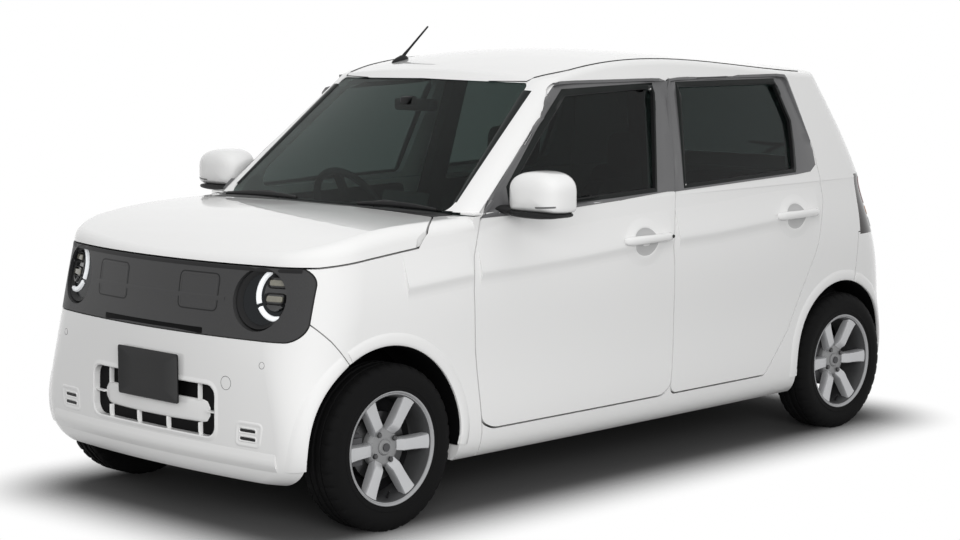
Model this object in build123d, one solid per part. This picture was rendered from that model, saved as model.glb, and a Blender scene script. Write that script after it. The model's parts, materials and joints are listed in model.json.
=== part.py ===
"""Kei car with hinged doors, bonnet, tailgate, steered front wheels and four turning wheels."""
import os
from math import cos, hypot, radians, sin

from build123d import *

# Overall sizes in millimetres. The car faces -Y, +X is its left side, Z = 0 is the road.
LENGTH = 3395.0
WIDTH = 1475.0
WHEELBASE = 2520.0
FRONT_OVERHANG = 432.0
TRACK = 1300.0
BELT_Z = 1020.0

# Wall thicknesses
LOWER_WALL = 60.0
UPPER_WALL = 42.0
ROOF_WALL = 28.0
BONNET_WALL = 35.0

# Clearances: round a moving panel, between fixed panels, between seated pieces, at a turning pin
PANEL_GAP = 6.0
SEAM = 4.0
FIT = 0.3
PIN_FIT = 0.2

# Rounding of the bonnet's and the roof's edges
BONNET_EDGE_RADIUS = 55.0
ROOF_EDGE_RADIUS = 30.0

# Wheel and tyre
TYRE_RADIUS = 278.5
TYRE_HALF_WIDTH = 77.5
RIM_SEAT_RADIUS = 178.0
RIM_LIP_RADIUS = 190.0
RIM_HALF_WIDTH = 74.0
RIM_WALL = 8.0
WHEEL_FACE_OUT = 52.0
WHEEL_FACE_THICK = 14.0
HUB_RADIUS = 66.0
HUB_IN = -4.0
ROTOR_RADIUS = 115.0
ROTOR_THICK = 12.0
SPINDLE_RADIUS = 14.0
SPOKES = 6
SPOKE_WIDTH = 44.0

# Wheel arches: openings in the skin, and the lining behind them
FRONT_ARCH_RADIUS = 325.0
FRONT_ARCH_SHIFT = -18.0
FRONT_ARCH_Z = 295.0
REAR_ARCH_RADIUS = 312.0
REAR_ARCH_SHIFT = -8.0
REAR_ARCH_Z = 298.5
LINER_STEP = 2.0
LINER_WALL = 16.0
FRONT_WELL_X = 405.0
REAR_WELL_X = 545.0

# Hinge lines
HINGE_X = 727.5
FRONT_DOOR_HINGE = 423.0
REAR_DOOR_HINGE = 1466.0
TAILGATE_EDGE = 2485.0
BONNET_EDGE = 312.0
A_PILLAR = 42.0
COWL_HALF = 598.0
COWL_END = 470.0
RAIL_X = 540.0
GUTTER_Z = 1400.0
KINGPIN_X = 615.0
KINGPIN_RADIUS = 10.0

FRONT_AXLE_Y = -LENGTH / 2 + FRONT_OVERHANG
REAR_AXLE_Y = FRONT_AXLE_Y + WHEELBASE
WHEEL_Z = TYRE_RADIUS

# Plan outlines of the lower body, bottom to top
# z, side inset, nose setback, tail setback, nose bow, tail bow, side bow, front corner, rear corner
LOWER_LEVELS = [
    (190, 40, 24, 70, 52, 60, 22, 200, 190),
    (240, 8, 6, 18, 50, 60, 22, 150, 215),
    (420, 0, 0, 0, 52, 60, 22, 150, 225),
    (640, 0, 3, 14, 84, 62, 22, 230, 235),
    (860, 8, 28, 75, 119, 64, 22, 240, 240),
    (BELT_Z, 34, 57, 121, 117, 64, 22, 220, 220),
]

# Plan outlines of the cabin above the belt, same columns
UPPER_LEVELS = [
    (BELT_Z, 34, 777, 121, 70, 64, 22, 95, 220),
    (1240, 96, 1033, 218, 75, 60, 18, 90, 190),
    (1470, 168, 1302, 348, 80, 55, 14, 85, 150),
    (1600, 212, 1452, 413, 80, 50, 12, 80, 130),
]

# Cross sections of the surfaces that cut the bonnet and the roof
# distance behind the front axle, height at the middle, drop at 900 from the middle
BONNET_SECTIONS = [
    (-540, 770, 34), (-385, 905, 34), (-230, 966, 32), (-60, 1000, 30), (150, 1017, 28), (402, 1026, 28),
]
ROOF_SECTIONS = [(652, 1395, 120), (872, 1478, 115), (1202, 1540, 105), (1952, 1528, 100), (2702, 1478, 100)]

# Side outlines: distance behind the front axle, height, shift per millimetre inwards from the widest skin
FRONT_DOOR = [
    (410, 285, 0), (380, 560, 0), (373, 760, 0), (384, 880, 0), (434, 1000, 0), (816, 1310, 0), (980, 1442, -0.2),
    (1584, 1442, -0.2), (1424, 830, -0.2), (1424, 480, -0.2), (1402, 285, -0.2),
]
REAR_DOOR = [
    (1402, 285, -0.2), (1424, 480, -0.2), (1424, 830, -0.2), (1584, 1442, -0.2), (2332, 1442, -0.25),
    (2404, 1144, -0.25), (2405, 943, -0.25), (2340, 768, -0.25), (2140, 446, -0.25), (1985, 285, -0.25),
]
FRONT_WINDOW = [(600, 1024), (612, 1094), (948, 1386), (1046, 1418), (1468, 1422), (1364, 1042)]
REAR_WINDOW_SIDE = [(1524, 1044), (1606, 1422), (2216, 1420), (2266, 1262), (2230, 1066)]
FENDER = [
    (-600, 1012), (438, 1012), (384, 880), (373, 760), (380, 560), (410, 285), (412, 120),
    (-60, 120), (-60, 430), (-185, 579), (-244, 655), (-300, 715), (-600, 760),
]
FRONT_BUMPER = [
    (-600, 100), (-600, 760), (-300, 715), (-244, 655), (-185, 579), (-60, 430), (-60, 100),
]
BONNET_SIDE = [
    (-600, 887), (-253, 887), (-80, 906), (75, 921), (400, 950), (400, 1400), (-600, 1400),
]
REAR_BUMPER = [(3100, 100), (3100, 800), (2628, 800), (2592, 550), (2480, 430), (2480, 100)]

# Roof and bonnet outlines seen from above: x, distance behind the front axle
ROOF_PLAN = [
    (-455, 820), (455, 820), (530, 1060), (522, TAILGATE_EDGE), (-522, TAILGATE_EDGE), (-530, 1060),
]

BONNET_PLAN = [
    (-740, -480), (740, -480), (740, 60), (705, 137), (697, 185), (665, 232), (606, 300), (590, BONNET_EDGE),
    (-590, BONNET_EDGE), (-606, 300), (-665, 232), (-697, 185), (-705, 137), (-740, 60),
]

# Front and rear outlines of the left half: x, height
NOSE_PANEL = [(0, 655), (655, 655), (655, 888), (0, 888)]
WINDSHIELD = [(0, 1021), (588, 1021), (488, 1442), (0, 1450)]
TAILGATE = [(0, 545), (600, 545), (600, 780), (565, 1030), (532, 1440), (530, 1600), (0, 1600)]
TAIL_WINDOW = [(0, 1080), (500, 1080), (440, 1395), (0, 1405)]
TAIL_LAMP = [(588, 790), (760, 790), (760, 1034), (572, 1034)]
GRILLE = [(0, 320), (328, 320), (328, 491), (0, 491)]
LAMP_X, LAMP_Z, LAMP_RADIUS = 487.0, 782.0, 101.0
RECESS = 22.0

# Number plate seat in the tailgate, with two screw holes
PLATE_SEAT_Y = 1636.0
PLATE_Z = 700.0
PLATE_SEAT_WIDTH = 350.0
PLATE_SEAT_HEIGHT = 185.0
PLATE_HOLE_SPACING = 210.0
PLATE_HOLE_RADIUS = 3.25
PLATE_HOLE_DEPTH = 25.0

SIDES = {"left": 1, "right": -1}


def station(distance):
    """Y of a point this far behind the front axle."""
    return FRONT_AXLE_Y + distance


def level_face(level, inset):
    """Plan outline of one level, drawn in by the inset: four arcs with four rounded corners."""
    z, side, nose, tail, nose_bow, tail_bow, side_bow, front_corner, rear_corner = level
    half = WIDTH / 2 - side - inset
    front = -LENGTH / 2 + nose + inset
    rear = LENGTH / 2 - tail - inset
    middle = (front + rear) / 2
    front_right = Vector(half - side_bow, front + nose_bow, z)
    rear_right = Vector(half - side_bow, rear - tail_bow, z)
    front_left = Vector(-half + side_bow, front + nose_bow, z)
    rear_left = Vector(-half + side_bow, rear - tail_bow, z)
    edges = [
        ThreePointArc(front_left, Vector(0, front, z), front_right),
        ThreePointArc(front_right, Vector(half, middle, z), rear_right),
        ThreePointArc(rear_right, Vector(0, rear, z), rear_left),
        ThreePointArc(rear_left, Vector(-half, middle, z), front_left),
    ]
    face = make_face(Curve() + edges)
    face = fillet(face.vertices().sort_by(Axis.Y)[:2], max(front_corner - inset, 15))
    corners = [v for v in face.vertices() if abs(v.Y - rear_right.Y) < 0.01]
    return fillet(corners, max(rear_corner - inset, 15))


def crown(sections, drop):
    """Solid above a crowned surface, lowered by the drop."""
    faces = []
    for distance, middle_z, side_drop in sections:
        y = station(distance)
        left = Vector(-900, y, middle_z - side_drop - drop)
        top = Vector(0, y, middle_z - drop)
        right = Vector(900, y, middle_z - side_drop - drop)
        roofline = Polyline(right, Vector(900, y, 1900), Vector(-900, y, 1900), left)
        faces.append(make_face(Curve() + [ThreePointArc(left, top, right), roofline]))
    return loft(faces)


def form(lower, upper, bonnet, roof, rounded):
    """The car's outer form, drawn in by the given wall thicknesses."""
    hull = loft([level_face(level, lower) for level in LOWER_LEVELS])
    hull -= crown(BONNET_SECTIONS, bonnet)
    cabin = loft([level_face(level, upper) for level in UPPER_LEVELS]) - crown(ROOF_SECTIONS, roof)
    if rounded:
        lid = max([f for f in hull.faces() if f.normal_at().Z > 0.8 and f.center().Y < -1000], key=lambda f: f.area)
        hull = fillet([e for e in lid.edges() if e.center().Y < -1000], BONNET_EDGE_RADIUS)
        top = max([f for f in cabin.faces() if f.center().Z > 1450], key=lambda f: f.area)
        cabin = fillet(top.edges(), ROOF_EDGE_RADIUS)
    return hull + cabin


def grown(points, amount):
    """Closed outline moved outwards by the amount, corners kept sharp."""
    count = len(points)
    area = sum(points[i][0] * points[(i + 1) % count][1] - points[(i + 1) % count][0] * points[i][1] for i in range(count))
    turn = 1 if area > 0 else -1
    result = []
    for i in range(count):
        before, here, after = points[i - 1], points[i], points[(i + 1) % count]
        first = (here[0] - before[0], here[1] - before[1])
        second = (after[0] - here[0], after[1] - here[1])
        first_length, second_length = hypot(*first), hypot(*second)
        first_out = (turn * first[1] / first_length, -turn * first[0] / first_length)
        second_out = (turn * second[1] / second_length, -turn * second[0] / second_length)
        share = 1 + first_out[0] * second_out[0] + first_out[1] * second_out[1]
        result.append((
            here[0] + amount * (first_out[0] + second_out[0]) / share,
            here[1] + amount * (first_out[1] + second_out[1]) / share,
        ))
    return result


def turns_sharply(corners, vertex):
    """Whether the closed outline turns by more than 20 degrees at this vertex."""
    places = [Vector(*corner) for corner in corners]
    here = min(range(len(places)), key=lambda i: (places[i] - vertex.center()).length)
    arriving = places[here] - places[here - 1]
    leaving = places[(here + 1) % len(places)] - places[here]
    return arriving.get_angle(leaving) > 20


def side_block(points, amount=0.0, radius=0.0, inner=300.0, outer=1000.0):
    """Solid with a side outline on the left half of the car, slanted where the outline says so."""
    outline = grown([p[:2] for p in points], amount)
    slants = [p[2] if len(p) > 2 else 0.0 for p in points]
    faces = []
    for x in (inner, outer):
        depth = WIDTH / 2 - x
        corners = [(x, station(y) + slant * depth, z) for (y, z), slant in zip(outline, slants)]
        face = make_face(Polyline(*corners, close=True))
        if radius:
            face = fillet([v for v in face.vertices() if turns_sharply(corners, v)], radius)
        faces.append(face)
    return loft(faces, ruled=True)


def full_block(points, amount=0.0):
    """Solid with a side outline right across the car."""
    return side_block(points, amount, inner=-1000.0, outer=1000.0)


def end_block(points, first, last, amount=0.0, radius=0.0):
    """Solid with an outline seen from the front, given for one half, between two stations."""
    whole = [p for p in points] + [(-x, z) for x, z in reversed(points) if x > 0]
    outline = grown(whole, amount)
    face = make_face(Polyline(*[(x, station(first), z) for x, z in outline], close=True))
    if radius:
        face = fillet([v for v in face.vertices() if abs(v.X) > 1], radius)
    return extrude(face, last - first, dir=(0, 1, 0))


def half_end_block(points, first, last, amount=0.0):
    """Solid with an outline seen from the end on the left half only."""
    outline = grown(points, amount)
    face = make_face(Polyline(*[(x, station(first), z) for x, z in outline], close=True))
    return extrude(face, last - first, dir=(0, 1, 0))


def lid_block(plan, bottom, amount):
    """Solid over an outline seen from above, from the bottom height upwards."""
    outline = grown(plan, amount)
    face = make_face(Polyline(*[(x, station(y), bottom) for x, y in outline], close=True))
    return extrude(face, 400, dir=(0, 0, 1))


def bonnet_solid(amount):
    """Solid that the bonnet is cut with: its outline from above, over its shut line seen from the side."""
    return lid_block(BONNET_PLAN, 800, amount) & full_block(BONNET_SIDE, amount)


def block(x0, x1, y0, y1, z0, z1):
    """Box between two corners, y counted from the front axle."""
    size = (x1 - x0, y1 - y0, z1 - z0)
    return Pos((x0 + x1) / 2, station((y0 + y1) / 2), (z0 + z1) / 2) * Box(*size)


def rod(radius, x0, x1, y, z):
    """Cylinder along X, y counted from the front axle."""
    return Pos((x0 + x1) / 2, station(y), z) * Rot(0, 90, 0) * Cylinder(radius, x1 - x0)


def post(radius, x, y, z0, z1):
    """Upright cylinder, y counted from the front axle."""
    return Pos(x, station(y), (z0 + z1) / 2) * Cylinder(radius, z1 - z0)


def both(shape):
    """The shape and its mirror image."""
    return shape + mirror(shape, Plane.YZ)


def on_side(shape, sign):
    """The shape on the left side, or its mirror image on the right."""
    return shape if sign > 0 else mirror(shape, Plane.YZ)


pieces = {}

# Skin, the hollow inside it, and the space that inner pieces may fill
skin = form(0, 0, 0, 0, True)
hollow = form(LOWER_WALL, UPPER_WALL, BONNET_WALL, ROOF_WALL, False)
inside = form(LOWER_WALL + FIT, UPPER_WALL + FIT, BONNET_WALL + FIT, ROOF_WALL + FIT, False)
shell = skin - hollow

front_arch = both(rod(FRONT_ARCH_RADIUS, FRONT_WELL_X, 900, FRONT_ARCH_SHIFT, FRONT_ARCH_Z))
rear_arch = both(rod(REAR_ARCH_RADIUS, REAR_WELL_X, 900, WHEELBASE + REAR_ARCH_SHIFT, REAR_ARCH_Z))
front_arch += both(block(FRONT_WELL_X, 900, FRONT_ARCH_SHIFT - FRONT_ARCH_RADIUS, FRONT_ARCH_SHIFT + FRONT_ARCH_RADIUS, 0, FRONT_ARCH_Z))
rear_low = WHEELBASE + REAR_ARCH_SHIFT
rear_arch += both(block(REAR_WELL_X, 900, rear_low - REAR_ARCH_RADIUS, rear_low + REAR_ARCH_RADIUS, 0, REAR_ARCH_Z))

# Doors with their window openings and glass
door_left = {"front": (FRONT_DOOR, FRONT_WINDOW), "rear": (REAR_DOOR, REAR_WINDOW_SIDE)}
glass_shell = form(10, 10, 10, 10, False) - form(15, 15, 15, 15, False)
left_half = block(0, 1000, -1000, 4000, 0, 2000)
left_shell = shell & left_half
left_glass = glass_shell & left_half
door_space = Part()
pillar_zone = end_block(WINDSHIELD, 200, 1010, A_PILLAR, 30)
cowl_zone = block(-COWL_HALF - PANEL_GAP, COWL_HALF + PANEL_GAP, 250, COWL_END + PANEL_GAP, 860, BELT_Z + PANEL_GAP)
for place, (outline, window) in door_left.items():
    opening = side_block(window, radius=30)
    panel = (left_shell & side_block(outline, -PANEL_GAP / 2, 28)) - opening
    panel = panel - pillar_zone - block(-RAIL_X, RAIL_X, 800, TAILGATE_EDGE, 1400, 1800) - cowl_zone
    pane = left_glass & side_block(window, -FIT, 30)
    space = side_block(outline, PANEL_GAP / 2, 28) - end_block(WINDSHIELD, 200, 1010, A_PILLAR - PANEL_GAP, 30)
    rail_inner = RAIL_X - PANEL_GAP
    door_space += space - block(-rail_inner, rail_inner, 800, TAILGATE_EDGE, 1400, 1800)
    for side, sign in SIDES.items():
        pieces["door_%s_%s" % (place, side)] = on_side(panel, sign)
        pieces["glass_%s_%s" % (place, side)] = on_side(pane, sign)

# Door mirrors
mirror_head = fillet(block(716, 955, 515, 640, 1006, 1162).edges(), 45)
mirror_foot = block(640, 760, 545, 615, 1030, 1080)
mirror_left = (mirror_head + mirror_foot) - form(-FIT, -FIT, -FIT, -FIT, False)
for side, sign in SIDES.items():
    pieces["mirror_" + side] = on_side(mirror_left, sign)

# Front end: nose panel with its lamps, bumper with its grille, fenders, bonnet
nose_block = end_block(NOSE_PANEL, -500, -100, radius=60)
nose_space = end_block(NOSE_PANEL, -500, -100, SEAM, 62)
lamp_hole = both(Pos(LAMP_X, station(-300), LAMP_Z) * Rot(90, 0, 0) * Cylinder(LAMP_RADIUS, 400))
lamp_body = both(Pos(LAMP_X, station(-300), LAMP_Z) * Rot(90, 0, 0) * Cylinder(LAMP_RADIUS - FIT, 400))
grille_opening = end_block(GRILLE, -500, -200, radius=40)
grille_body = end_block(GRILLE, -500, -200, -FIT, 40)
bonnet_block = bonnet_solid(-PANEL_GAP / 2)
bonnet_space = bonnet_solid(PANEL_GAP / 2)
pieces["nose_panel"] = (shell & nose_block) - lamp_hole - bonnet_space
recess = form(RECESS, RECESS, RECESS, RECESS, False) - hollow
pieces["headlamps"] = (recess & nose_block & lamp_body) - bonnet_space
bumper_block = full_block(FRONT_BUMPER, -SEAM / 2)
pieces["front_bumper"] = (shell & bumper_block) - nose_space - grille_opening - front_arch
pieces["lower_grille"] = recess & grille_body
fender = (left_shell & side_block(FENDER, -SEAM / 2, inner=600)) - nose_space - front_arch - bonnet_space
pieces["front_fenders"] = both(fender)
pieces["bonnet"] = shell & bonnet_block

# Cowl, windshield and roof
cowl_block = block(-COWL_HALF, COWL_HALF, BONNET_EDGE + PANEL_GAP / 2, COWL_END, 900, 1019)
cowl_space = block(-COWL_HALF - 2, COWL_HALF + 2, BONNET_EDGE - PANEL_GAP / 2, COWL_END + SEAM, 900, 1023)
windshield_hole = end_block(WINDSHIELD, 200, 925, FIT, 25)
windshield_block = end_block(WINDSHIELD, 200, 915, 0, 25)
pieces["cowl"] = (shell & cowl_block) - windshield_hole
pieces["windshield"] = (form(4, 4, 4, 4, False) - form(10, 10, 10, 10, False)) & windshield_block
pieces["roof"] = (shell & lid_block(ROOF_PLAN, GUTTER_Z, -SEAM / 2)) - windshield_hole

# Rear end: tailgate with its window, bumper, lamps
tailgate_block = end_block(TAILGATE, TAILGATE_EDGE + PANEL_GAP / 2, 3100, -PANEL_GAP / 2)
tailgate_space = end_block(TAILGATE, TAILGATE_EDGE - PANEL_GAP / 2, 3100, PANEL_GAP / 2)
tail_opening = end_block(TAIL_WINDOW, 2300, 3100, 0, 45)
plate_seat = Pos(0, PLATE_SEAT_Y + 100, PLATE_Z) * Box(PLATE_SEAT_WIDTH, 200, PLATE_SEAT_HEIGHT)
tailgate = (shell & tailgate_block) - tail_opening - plate_seat
for sign in (1, -1):
    hole = Pos(sign * PLATE_HOLE_SPACING / 2, PLATE_SEAT_Y - PLATE_HOLE_DEPTH / 2, PLATE_Z) * Rot(90, 0, 0)
    tailgate -= hole * Cylinder(PLATE_HOLE_RADIUS, PLATE_HOLE_DEPTH)
pieces["tailgate"] = tailgate
pieces["rear_window"] = glass_shell & end_block(TAIL_WINDOW, 2520, 3100, -FIT, 45)
lamp_space = both(half_end_block(TAIL_LAMP, 2640, 3100, FIT))
pieces["tail_lamps"] = (shell & both(half_end_block(TAIL_LAMP, 2640, 3100))) - tailgate_space
pieces["rear_bumper"] = (shell & full_block(REAR_BUMPER, -SEAM / 2)) - rear_arch - tailgate_space - lamp_space

# Body sides: what is left of the walls between the panels
sides = left_shell - door_space - full_block(FENDER, SEAM / 2) - full_block(FRONT_BUMPER, SEAM / 2)
sides = sides - bonnet_space - cowl_space - windshield_hole - lid_block(ROOF_PLAN, GUTTER_Z, SEAM / 2) - tailgate_space
sides = sides - lamp_space - rear_arch - full_block(REAR_BUMPER, SEAM / 2) - block(-10, 900, -600, 345, 0, 1000)
body_side = max(sides.solids(), key=lambda s: s.volume)
pieces["body_sides"] = both(body_side)

# Floor, firewall, inner wings, wheel wells and end panels, all inside the walls
frame_parts = [
    block(-700, 700, 370, 2100, 215, 245),
    block(-648, 648, 318, 370, 215, 900),
    block(-700, 700, 2080, 2112, 215, 430),
    block(-700, 700, 2080, 2880, 400, 430),
    block(-700, 700, 2800, 2950, 260, 520),
    block(-398, 398, -500, -262, 224, 820),
]
for sign in (1, -1):
    frame_parts.append(block(min(300 * sign, 360 * sign), max(300 * sign, 360 * sign), -300, 370, 400, 460))
    frame_parts.append(block(min(385 * sign, 700 * sign), max(385 * sign, 700 * sign), -300, 340, 780, 830))
front_liner = both(rod(FRONT_ARCH_RADIUS + LINER_STEP + LINER_WALL, FRONT_WELL_X, 700, FRONT_ARCH_SHIFT, FRONT_ARCH_Z))
rear_liner = both(rod(REAR_ARCH_RADIUS + LINER_STEP + LINER_WALL, REAR_WELL_X - LINER_WALL, 700, rear_low, REAR_ARCH_Z))
above_floor = block(-800, 800, -1000, 4000, 230, 1000)
floor = Part()
for part in frame_parts:
    floor += part
floor += front_liner & above_floor
floor += rear_liner & above_floor
floor &= inside
floor -= both(rod(FRONT_ARCH_RADIUS + LINER_STEP, FRONT_WELL_X, 900, FRONT_ARCH_SHIFT, FRONT_ARCH_Z))
floor -= both(rod(REAR_ARCH_RADIUS + LINER_STEP, REAR_WELL_X, 900, rear_low, REAR_ARCH_Z))
floor -= block(-500, 500, -230, 300, 470, 900)
floor -= block(-600, 600, 2000, 2825, 245, 399)
pieces["floor_pan"] = floor

# Pillars between the doors, inboard of the doors' swing
pillar_rows = [(246, 575, 625, 1400, 1500), (950, 560, 610, 1400, 1500), (1560, 420, 470, 1490, 1560)]
pillar_faces = []
for z, x0, x1, y0, y1 in pillar_rows:
    corners = [(x0, station(y0), z), (x1, station(y0), z), (x1, station(y1), z), (x0, station(y1), z)]
    pillar_faces.append(make_face(Polyline(*corners, close=True)))
pillar = loft(pillar_faces, ruled=True) & inside
pieces["pillars"] = both(Pos(0, 0, FIT) * pillar & inside)

# Dashboard with the steering column, seats
WHEEL_TILT = 25.0
STEERING_X, STEERING_Y, STEERING_Z = -345.0, 800.0, 930.0
STEERING_RIM = 180.0
COLUMN_RADIUS = 18.0
column_axis = Vector(0, cos(radians(WHEEL_TILT)), sin(radians(WHEEL_TILT)))
steering_plane = Plane(
    origin=(STEERING_X, station(STEERING_Y), STEERING_Z), x_dir=(1, 0, 0), z_dir=column_axis)
dash = fillet(block(-600, 600, 370 + FIT, 700, 690, 985).edges().filter_by(Axis.X), 60)
column = steering_plane * Pos(0, 0, -140) * Cylinder(COLUMN_RADIUS, 240)
column_bore = steering_plane * Pos(0, 0, 0) * Cylinder(9 + PIN_FIT, 240)
pieces["dashboard"] = (dash & inside) + column - column_bore
ring = steering_plane * Torus(STEERING_RIM, 14)
hub = steering_plane * Pos(0, 0, -2) * Cylinder(52, 30)
bars = steering_plane * (Box(2 * STEERING_RIM - 8, 34, 14) + Pos(0, -STEERING_RIM / 2, 0) * Box(40, STEERING_RIM - 4, 14))
shaft = steering_plane * Pos(0, 0, -60) * Cylinder(9, 100)
pieces["steering_wheel"] = ring + hub + bars + shaft

SEAT_X, SEAT_HALF = 325.0, 220.0
cushion = block(SEAT_X - SEAT_HALF, SEAT_X + SEAT_HALF, 1050, 1540, 340, 510)
base = block(SEAT_X - 180, SEAT_X + 180, 1100, 1500, 245 + FIT, 350)
back_rows = [(480, 1480, 1600), (1060, 1620, 1710)]
back_faces = []
for z, y0, y1 in back_rows:
    corners = [(SEAT_X - SEAT_HALF, station(y0), z), (SEAT_X + SEAT_HALF, station(y0), z),
               (SEAT_X + SEAT_HALF, station(y1), z), (SEAT_X - SEAT_HALF, station(y1), z)]
    back_faces.append(make_face(Polyline(*corners, close=True)))
backrest = loft(back_faces, ruled=True)
headrest = block(SEAT_X - 125, SEAT_X + 125, 1635, 1715, 1055, 1230)
pieces["front_seats"] = both(fillet(cushion.edges(), 30) + base + backrest + fillet(headrest.edges(), 25))
rear_cushion = block(-505, 505, 1860, 2330, 340, 520)
rear_base = block(-440, 440, 1900, 2075, 245 + FIT, 350)
rear_back = block(-505, 505, 2290, 2420, 430 + FIT, 1050)
rear_seat = fillet(rear_cushion.edges(), 30) + rear_base + fillet(rear_back.edges().filter_by(Axis.X), 40)
pieces["rear_seat"] = rear_seat - block(-700, 700, 2080 - FIT, 2900, 200, 430 + FIT)

# Motor with its housing, battery pack
pieces["drive_unit"] = block(-330, 330, -200, 230, 460 + FIT, 760)
pieces["battery_pack"] = block(-470, 470, 560, 1960, 150, 215 - FIT)

# Front suspension with its arms, knuckles, rear axle
ARM_RISE = 100.0
arm_half = 18.0
suspension = block(-365, 365, -70, 70, 360, 400 - FIT)
for sign in (1, -1):
    near, far = sorted((330 * sign, 365 * sign))
    suspension += block(near, far, -50, 50, 160, 370)
    for rise in (ARM_RISE, -ARM_RISE):
        z = WHEEL_Z + rise
        inner, outer = sorted((340 * sign, KINGPIN_X * sign))
        suspension += block(inner, outer, -arm_half, arm_half, z - 10, z + 10)
        suspension += post(24, KINGPIN_X * sign, 0, z - 10, z + 10)
for sign in (1, -1):
    suspension -= post(KINGPIN_RADIUS + PIN_FIT, KINGPIN_X * sign, 0, 100, 500)
pieces["front_suspension"] = suspension
knuckle = block(588, 638, -32, 32, WHEEL_Z - 84, WHEEL_Z + 84)
knuckle += post(KINGPIN_RADIUS, KINGPIN_X, 0, WHEEL_Z - ARM_RISE - 14, WHEEL_Z + ARM_RISE + 14)
knuckle += rod(SPINDLE_RADIUS, 630, TRACK / 2 + 46, 0, WHEEL_Z)
caliper = block(634, 676, -142, -92, 232, 322) - rod(ROTOR_RADIUS + 6, 645, 667, 0, WHEEL_Z)
knuckle += caliper + block(600, 640, -100, -20, 250, 306)
for side, sign in SIDES.items():
    pieces["knuckle_" + side] = on_side(knuckle, sign)
rear_axle = rod(32, -600, 600, WHEELBASE, WHEEL_Z) + rod(SPINDLE_RADIUS, -TRACK / 2 - 46, TRACK / 2 + 46, WHEELBASE, WHEEL_Z)
for sign in (1, -1):
    near, far = sorted((400 * sign, 470 * sign))
    rear_axle += block(near, far, 2125, WHEELBASE + 20, 255, 300)
    rear_axle += block(near, far, WHEELBASE - 30, WHEELBASE + 30, 290, 400 - FIT)
pieces["rear_axle"] = rear_axle


def wheel(centre_y, sign):
    """Rim with spokes, hub and brake rotor, turning about X."""
    x = TRACK / 2
    half = RIM_HALF_WIDTH
    seat = RIM_SEAT_RADIUS
    profile = [
        (x - half, seat - RIM_WALL), (x + half, seat - RIM_WALL), (x + half, RIM_LIP_RADIUS),
        (x + half - 4, RIM_LIP_RADIUS), (x + half - 4, seat), (x - half + 4, seat),
        (x - half + 4, RIM_LIP_RADIUS), (x - half, RIM_LIP_RADIUS),
    ]
    section = make_face(Polyline(*[(px, 0, pr) for px, pr in profile], close=True))
    solid = revolve(section, Axis.X)
    face_in = WHEEL_FACE_OUT - WHEEL_FACE_THICK
    disc = Pos(x + (face_in + WHEEL_FACE_OUT) / 2, 0, 0) * Rot(0, 90, 0) * Cylinder(seat - 4, WHEEL_FACE_THICK)
    for step in range(SPOKES):
        sector = Polyline((0, 88, SPOKE_WIDTH / 2 + 2), (0, 158, SPOKE_WIDTH / 2), (0, 158 * 0.62, 0), close=True)
        angle = 360 / SPOKES * step
        outer_half = 158 * sin(radians(180 / SPOKES)) - SPOKE_WIDTH / 2
        inner_half = 84 * sin(radians(180 / SPOKES)) - SPOKE_WIDTH / 2
        corners = [(x, -outer_half, 150), (x, outer_half, 150), (x, inner_half, 82), (x, -inner_half, 82)]
        window = extrude(make_face(Polyline(*corners, close=True)), 80, dir=(1, 0, 0))
        disc -= Rot(angle, 0, 0) * window
    solid += disc
    solid += Pos(x + (HUB_IN + WHEEL_FACE_OUT) / 2, 0, 0) * Rot(0, 90, 0) * Cylinder(HUB_RADIUS, WHEEL_FACE_OUT - HUB_IN)
    solid += Pos(x + HUB_IN + ROTOR_THICK / 2, 0, 0) * Rot(0, 90, 0) * Cylinder(ROTOR_RADIUS, ROTOR_THICK)
    solid -= Pos(x, 0, 0) * Rot(0, 90, 0) * Cylinder(SPINDLE_RADIUS + PIN_FIT, 2 * (46 + 1))
    return on_side(Pos(0, centre_y, WHEEL_Z) * solid, sign)


def tyre(centre_y, sign):
    """Tyre seated on the rim."""
    x = TRACK / 2
    bead = RIM_SEAT_RADIUS + FIT
    half_profile = [(66.5, bead), (TYRE_HALF_WIDTH, 235), (71, 262), (54, TYRE_RADIUS)]
    profile = [(x - w, r) for w, r in half_profile] + [(x + w, r) for w, r in reversed(half_profile)]
    section = make_face(Polyline(*[(px, 0, pr) for px, pr in profile], close=True))
    return on_side(Pos(0, centre_y, WHEEL_Z) * revolve(section, Axis.X), sign)


for place, centre_y in (("front", FRONT_AXLE_Y), ("rear", REAR_AXLE_Y)):
    for side, sign in SIDES.items():
        pieces["wheel_%s_%s" % (place, side)] = wheel(centre_y, sign)
        pieces["tyre_%s_%s" % (place, side)] = tyre(centre_y, sign)

# Aerial on the roof, leaning back
ANTENNA_X, ANTENNA_Y = -345.0, 1062.0
ANTENNA_LEAN = 50.0
antenna_foot = Pos(ANTENNA_X, station(ANTENNA_Y), 1512) * Box(26, 64, 30)
antenna_rod = Pos(ANTENNA_X, station(ANTENNA_Y + 76), 1575) * Rot(-ANTENNA_LEAN, 0, 0) * Cylinder(4, 190)
pieces["antenna"] = (antenna_foot + antenna_rod) - form(-FIT, -FIT, -FIT, -FIT, False)

os.makedirs("parts", exist_ok=True)
for name, shape in pieces.items():
    export_step(shape, "parts/%s.step" % name)
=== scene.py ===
"""Looks of the kei car: finishes for its solids, and the detail that sits on them."""
import json
from math import copysign, cos, hypot, pi, radians, sin

import bmesh
import bpy
from mathutils import Matrix, Vector
from mathutils.bvhtree import BVHTree


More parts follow.
